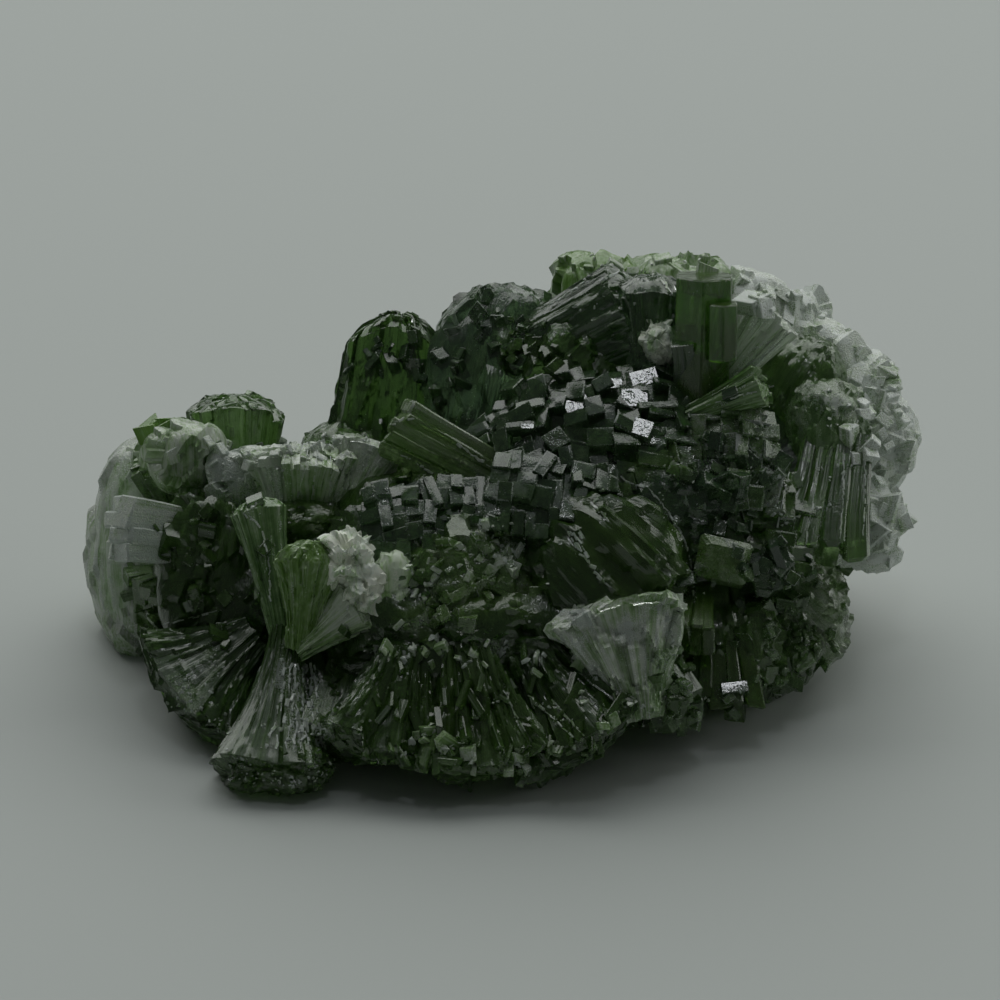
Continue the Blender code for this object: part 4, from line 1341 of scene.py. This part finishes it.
# White of the frosted coat, also the colour of the painted highlights.
FROST_AND_HIGHLIGHT_COLOUR = (0.60, 0.66, 0.62, 1.0)
CREAM_COLOUR = (0.90, 0.92, 0.80, 1.0)
CLOUD_COLOUR = (0.90, 0.95, 0.91, 1.0)

# Growth lines: how fine they are across and along a crystal, and their height.
FINE_LINES = ((6.0, 6.0, 0.15), 0.03)
BROAD_LINES = ((1.5, 1.5, 0.07), 0.13)
STREAK_RANGE = (0.54, 0.66)
END_SMOOTHING = -0.8

# Frosting and painted highlight: patches and grit make a level, chamfers and
# streaks raise it, and it turns white where it passes a threshold that falls
# with the amount. Along the streaks, and where patches paint highlights, the
# white is a painted highlight.
PATCH_NOISE = (0.4, 3.0, 0.62)
GRIT_NOISE = (9.0, 0.0)
PATCH_SHARE, GRIT_SHARE = 0.65, 0.35
EDGE_RANGE = (0.25, 1.0)
EDGE_FROST = (0.02, 0.13)
# Streaks raise the white coat, partly to paint highlight streaks as on the skirt.
STREAK_FROST_AND_HIGHLIGHT = 0.09
BARE_THRESHOLD, THRESHOLD_FALL = 0.75, -0.27
MASK_SOFTNESS = 0.07

CLOUD_NOISE = (0.35, 2.0)
WISP_NOISE = (1.7, 3.0, 0.68)

# What changes the shade of the stone: the middle of its values and its weight.
SHADE_PARTS = {
    "Cloud": (0.5, 0.5),
    "Wisps": (0.5, 0.5),
    "Silk": (1.0, 0.6),
    "Blade": (0.5, 0.16),
    "Along": (0.6, 0.18),
}
TINT_PARTS = (("Olive", 0.6, OLIVE_COLOUR), ("Grey", 0.5, GREY_COLOUR))

# Finishes: share of light let through, roughness when bare and when frosted,
# depth of the growth lines, colour of the dusting and painted highlights, and
# colour and density of absorption.
FINISHES = {
    "green_prehnite": (0.7, (0.12, 0.45), 1.0, FROST_AND_HIGHLIGHT_COLOUR, None),
    "pale_prehnite": (0.4, (0.14, 0.45), 1.0, FROST_AND_HIGHLIGHT_COLOUR, ((0.45, 0.70, 0.30, 1.0), 220.0)),
    "clear_prehnite": (0.3, (0.2, 0.5), 0.8, CLOUD_COLOUR, None),
    "olive_prehnite": (0.85, (0.14, 0.4), 0.4, FROST_AND_HIGHLIGHT_COLOUR, ((0.45, 0.75, 0.0, 1.0), 380.0)),
    "cream_crust": (0.1, (0.3, 0.6), 0.0, CREAM_COLOUR, None),
    "white_frost_and_highlight": (0.4, (0.1, 0.3), 0.0, FROST_AND_HIGHLIGHT_COLOUR, None),
}


def feed(tree, target, value):
    """Link a socket, or set a plain value."""
    if isinstance(value, bpy.types.NodeSocket):
        tree.links.new(value, target)
    elif value is not None:
        target.default_value = value


def new_group(name, inputs, outputs):
    """Start a shader node group: its tree, its inputs and the way to feed its outputs."""
    tree = bpy.data.node_groups.new(name, "ShaderNodeTree")
    for socket, (kind, default) in inputs.items():
        made = tree.interface.new_socket(socket, in_out="INPUT", socket_type=kind)
        if default is not None:
            made.default_value = default
    for socket, kind in outputs.items():
        tree.interface.new_socket(socket, in_out="OUTPUT", socket_type=kind)
    return tree, tree.nodes.new("NodeGroupInput").outputs, tree.nodes.new("NodeGroupOutput").inputs


def calculate(tree, operation, first, second=None, third=None, clamp=False):
    """A Math node."""
    made = tree.nodes.new("ShaderNodeMath")
    made.operation = operation
    made.use_clamp = clamp
    for socket, value in zip(made.inputs, (first, second, third)):
        feed(tree, socket, value)
    return made.outputs[0]


def mix_colour(tree, share, first, second):
    """A colour Mix node."""
    made = tree.nodes.new("ShaderNodeMix")
    made.data_type = "RGBA"
    for index, value in ((0, share), (6, first), (7, second)):
        feed(tree, made.inputs[index], value)
    return made.outputs[2]


def noise(tree, place, scale, detail, roughness=0.55):
    """A Noise node whose values centre on one half."""
    made = tree.nodes.new("ShaderNodeTexNoise")
    made.inputs["Scale"].default_value = scale
    made.inputs["Detail"].default_value = detail
    made.inputs["Roughness"].default_value = roughness
    tree.links.new(place, made.inputs["Vector"])
    return made.outputs["Fac"]


def remap(tree, value, low, high, to_low=0.0, to_high=1.0):
    """Stretch a value from one range to another, with soft ends."""
    made = tree.nodes.new("ShaderNodeMapRange")
    made.interpolation_type = "SMOOTHSTEP"
    for index, number in enumerate((value, low, high, to_low, to_high)):
        feed(tree, made.inputs[index], number)
    return made.outputs[0]


def scaled(tree, vector, factors):
    """A vector multiplied part by part."""
    made = tree.nodes.new("ShaderNodeVectorMath")
    made.operation = "MULTIPLY"
    made.inputs[1].default_value = factors
    tree.links.new(vector, made.inputs[0])
    return made.outputs[0]


def growth_lines_group():
    """Growth lines that run along each crystal, as a height in mm."""
    tree, given, result = new_group(
        "growth_lines", {"Grain": (VECTOR, None)},
        {"Height": NUMBER, "Silk": NUMBER, "Streaks": NUMBER},
    )
    fine, broad = (noise(tree, scaled(tree, given["Grain"], scales), 1.0, 0.0)
                   for scales, _ in (FINE_LINES, BROAD_LINES))
    height = calculate(tree, "MULTIPLY", broad, BROAD_LINES[1])
    feed(tree, result["Height"], calculate(tree, "MULTIPLY_ADD", fine, FINE_LINES[1], height))
    feed(tree, result["Streaks"], remap(tree, broad, *STREAK_RANGE))
    feed(tree, result["Silk"], calculate(tree, "ADD", fine, broad))
    return tree


def frost_and_highlight_group():
    """White frosted coat in patches, thicker along chamfers and growth lines; along growth lines
    and in some patches it is a painted highlight.
    """
    tree, given, result = new_group(
        "frosting_and_highlight",
        {"Place": (VECTOR, None), "Amount": (NUMBER, 0.3), "Chamfer": (NUMBER, 0.0),
         "Along": (NUMBER, 0.5), "Streaks": (NUMBER, 0.0)},
        {"Mask": NUMBER, "Grit": NUMBER},
    )
    patches = noise(tree, given["Place"], *PATCH_NOISE)
    grit = noise(tree, given["Place"], *GRIT_NOISE)
    level = calculate(tree, "MULTIPLY", patches, PATCH_SHARE)
    level = calculate(tree, "MULTIPLY_ADD", grit, GRIT_SHARE, level)
    edge = remap(tree, given["Along"], *EDGE_RANGE, *EDGE_FROST)
    level = calculate(tree, "MULTIPLY_ADD", given["Chamfer"], edge, level)
    level = calculate(tree, "MULTIPLY_ADD", given["Streaks"], STREAK_FROST_AND_HIGHLIGHT, level)
    threshold = calculate(tree, "MULTIPLY_ADD", given["Amount"], THRESHOLD_FALL, BARE_THRESHOLD)
    full = calculate(tree, "ADD", threshold, MASK_SOFTNESS)
    feed(tree, result["Mask"], remap(tree, level, threshold, full))
    feed(tree, result["Grit"], grit)
    return tree


def stone_colour_group():
    """Body colour of the stone from paleness, olive and grey."""
    tree, given, result = new_group(
        "stone_colour",
        {"Place": (VECTOR, None), "Silk": (NUMBER, 0.5), "Paleness": (NUMBER, 0.3),
         "Olive": (NUMBER, 0.2), "Grey": (NUMBER, 0.2), "Along": (NUMBER, 0.5),
         "Blade": (NUMBER, 0.5)},
        {"Color": COLOUR, "Wisps": NUMBER},
    )
    cloud = noise(tree, given["Place"], *CLOUD_NOISE)
    wisps = noise(tree, given["Place"], *WISP_NOISE)
    shade = given["Paleness"]
    made_here = {"Cloud": cloud, "Wisps": wisps}
    for name, (middle, weight) in SHADE_PARTS.items():
        value = made_here[name] if name in made_here else given[name]
        part = calculate(tree, "MULTIPLY", calculate(tree, "SUBTRACT", value, middle), weight)
        shade = calculate(tree, "ADD", shade, part)
    ramp = tree.nodes.new("ShaderNodeValToRGB")
    stops = ramp.color_ramp.elements
    for index, (position, colour) in enumerate(STONE_COLOURS):
        stop = stops[index] if index < 2 else stops.new(position)
        stop.position, stop.color = position, colour
    feed(tree, ramp.inputs[0], calculate(tree, "ADD", shade, 0.0, clamp=True))
    stone = ramp.outputs[0]
    for amount, weight, colour in TINT_PARTS:
        stone = mix_colour(tree, calculate(tree, "MULTIPLY", given[amount], weight), stone, colour)
    feed(tree, result["Color"], stone)
    feed(tree, result["Wisps"], wisps)
    return tree


def place_group(tree, group, **links):
    """Place a node group in a material, feed it and give its outputs."""
    made = tree.nodes.new("ShaderNodeGroup")
    made.node_tree = group
    for socket, value in links.items():
        feed(tree, made.inputs[socket], value)
    return made.outputs


def attribute(tree, name):
    """Read a corner attribute of the crystals."""
    made = tree.nodes.new("ShaderNodeAttribute")
    made.attribute_name = name
    return made.outputs


def colour_parts(tree, colour):
    """The three parts of a colour."""
    made = tree.nodes.new("ShaderNodeSeparateColor")
    tree.links.new(colour, made.inputs[0])
    return made.outputs


def bumped(tree, shader, height):
    """Let a height in millimetres feed the shader's normal."""
    bump = tree.nodes.new("ShaderNodeBump")
    bump.inputs["Strength"].default_value = 1.0
    bump.inputs["Distance"].default_value = MM
    tree.links.new(height, bump.inputs["Height"])
    tree.links.new(bump.outputs[0], shader.inputs["Normal"])


def soaked(tree, colour, density):
    """Let the stone take in some light on the way through."""
    soak = tree.nodes.new("ShaderNodeVolumeAbsorption")
    soak.inputs["Color"].default_value = colour
    soak.inputs["Density"].default_value = density
    tree.links.new(soak.outputs[0], tree.nodes["Material Output"].inputs["Volume"])


def placed_groups(tree, groups):
    """Place the stone's node groups: colour, frosted coat with painted highlight, lines, end, and
    how frosted the tint is.
    """
    place = scaled(tree, tree.nodes.new("ShaderNodeTexCoord").outputs["Object"], (1.0 / MM,) * 3)
    growth, tint, grain = (attribute(tree, wanted) for wanted in ("growth", "tint", "grain"))
    along, chamfer, blade = colour_parts(tree, growth["Color"])
    paleness, frost, olive = colour_parts(tree, tint["Color"])
    lines = place_group(tree, groups["lines"], Grain=grain["Vector"])
    colour = place_group(tree, groups["colour"], Place=place, Silk=lines["Silk"],
                         Paleness=paleness, Olive=olive, Grey=tint["Alpha"],
                         Along=along, Blade=blade)
    frosting_and_highlight = place_group(tree, groups["frost"], Place=place, Amount=frost,
                           Chamfer=chamfer, Along=along, Streaks=lines["Streaks"])
    return colour, frosting_and_highlight, lines, growth["Alpha"], frost


def crystal_material(name, groups, transmission, roughness, relief, dust_and_highlight, soaking):
    """Prehnite of one finish."""
    material = bpy.data.materials.new(name)
    material.use_nodes = True
    tree = material.node_tree
    shader = tree.nodes["Principled BSDF"]
    colour, frosting_and_highlight, lines, end, frost = placed_groups(tree, groups)
    # The frosted coat, and in places a painted highlight, covers the stone where the mask is set.
    cover = calculate(tree, "MULTIPLY", frosting_and_highlight["Mask"], DUST_AND_HIGHLIGHT_COVER)
    feed(tree, shader.inputs["Base Color"], mix_colour(tree, cover, colour["Color"], dust_and_highlight))
    rough = calculate(tree, "MULTIPLY_ADD", colour["Wisps"], WISP_ROUGHNESS,
                      remap(tree, frosting_and_highlight["Mask"], 0.0, 1.0, *roughness))
    feed(tree, shader.inputs["Roughness"],
         calculate(tree, "MULTIPLY_ADD", end, END_POLISH, rough))
    if relief:
        depth = calculate(tree, "MULTIPLY_ADD", end, END_SMOOTHING * relief, relief)
        height = calculate(tree, "MULTIPLY", lines["Height"], depth)
        grit = calculate(tree, "MULTIPLY", frost, GRIT_HEIGHT)
        bumped(tree, shader, calculate(tree, "MULTIPLY_ADD", frosting_and_highlight["Grit"], grit, height))
    shader.inputs["IOR"].default_value = PREHNITE_IOR
    shader.inputs["Transmission Weight"].default_value = transmission
    shader.inputs["Metallic"].default_value = 0.0
    if soaking:
        soaked(tree, *soaking)
    return material


# ------------------------------------------------------------------- stage

FLOOR_SIZE = 6.0
FLOOR_COLOUR = (0.50, 0.53, 0.505, 1.0)
FLOOR_ROUGHNESS = 0.6
FLOOR_GLOSS = 0.2
ROOM_COLOUR = (0.92, 1.0, 0.97, 1.0)
ROOM_STRENGTH = 0.05

# Soft lights and a small bright one: place, size, power and colour.
LIGHTS = {
    "overhead": ((0.0, 0.92, 0.97), (2.4, 1.5), 17.6, (0.98, 1.0, 0.99)),
    "sheen": ((0.0, 0.08, 1.3), (1.2, 0.8), 0.85, (0.9, 0.97, 1.0)),
    "side": ((1.3, 0.25, 0.55), (0.8, 0.6), 2.6, (0.97, 1.0, 0.98)),
    "glint": (GLINT_PLACE, (0.10, 0.10), 0.25, (0.93, 0.95, 1.0)),
}


def floor():
    """Plain pale floor."""
    bpy.ops.mesh.primitive_plane_add(size=FLOOR_SIZE, location=(0.0, 0.0, 0.0))
    made = bpy.context.object
    made.name = "floor"
    material = bpy.data.materials.new("floor")
    material.use_nodes = True
    shader = material.node_tree.nodes["Principled BSDF"]
    shader.inputs["Base Color"].default_value = FLOOR_COLOUR
    shader.inputs["Roughness"].default_value = FLOOR_ROUGHNESS
    shader.inputs["Specular IOR Level"].default_value = FLOOR_GLOSS
    made.data.materials.append(material)


def area_light(name, location, size, power, colour):
    """One soft studio light that shines at the specimen."""
    light = bpy.data.lights.new(name, "AREA")
    light.shape = "RECTANGLE"
    light.size, light.size_y = size
    light.energy = power
    light.color = colour
    made = bpy.data.objects.new(name, light)
    made.location = location
    made.rotation_euler = (-Vector(location)).to_track_quat("-Z", "Y").to_euler()
    bpy.context.scene.collection.objects.link(made)


def room():
    """Dim room."""
    world = bpy.data.worlds.new("room")
    world.use_nodes = True
    background = world.node_tree.nodes["Background"]
    background.inputs[0].default_value = ROOM_COLOUR
    background.inputs[1].default_value = ROOM_STRENGTH
    bpy.context.scene.world = world


def camera():
    """Camera that looks along the layout's depth direction."""
    made = bpy.data.objects.new("camera", bpy.data.cameras.new("camera"))
    made.data.lens = LENS_MM
    made.data.sensor_width = SENSOR_MM
    made.data.clip_start = CLIP_START
    view = upright((0.0, 0.0, 1.0))
    made.location = (upright(AIM_POINT) + CENTRE_SHIFT) * MM - view * CAMERA_DISTANCE
    made.rotation_euler = view.to_track_quat("-Z", "Y").to_euler()
    bpy.context.scene.collection.objects.link(made)
    bpy.context.scene.camera = made
    return made


GROWN_PIECES = {
    "left_crystals": ("green_prehnite", LEFT),
    "front_crystals": ("green_prehnite", FRONT),
    "right_crystals": ("green_prehnite", RIGHT),
    "rear_crystals": ("green_prehnite", REAR),
    "pale_crystals": ("pale_prehnite", PALE),
    "clear_crystals": ("clear_prehnite", CLEAR),
    "olive_crystals": ("olive_prehnite", OLIVE),
    "cream_crust": ("cream_crust", CRUST),
}
DRUSE_PIECES = {
    "dark_druse": ("green_prehnite", DARK_DRUSES),
    "pale_druse": ("pale_prehnite", PALE_DRUSES),
    "clear_druse": ("clear_prehnite", CLEAR_DRUSES),
}


def main():
    """Grow the specimen and set its stage."""
    eye = camera().location
    room()
    for name, settings in LIGHTS.items():
        area_light(name, *settings)
    floor()
    bpy.context.scene.view_settings.view_transform = "Standard"
    groups = {"colour": stone_colour_group(), "frost": frost_and_highlight_group(),
              "lines": growth_lines_group()}
    finishes = {name: crystal_material(name, groups, *values) for name, values in FINISHES.items()}
    block = ground_block()
    pieces = [grown_piece(name, table, finishes[finish], block)
              for name, (finish, table) in GROWN_PIECES.items()]
    pieces.append(prism_piece(finishes["olive_prehnite"], block))
    pieces.append(bright_plates_piece(Surface(pieces, eye), finishes["green_prehnite"], block))
    surface = Surface(pieces, eye)
    pieces += [druse_piece(name, druses, surface, finishes[finish], block)
               for name, (finish, druses) in DRUSE_PIECES.items()]
    frost_and_highlight_piece(Surface(pieces, eye), finishes["white_frost_and_highlight"], block)
    bpy.data.objects.remove(block)


main()
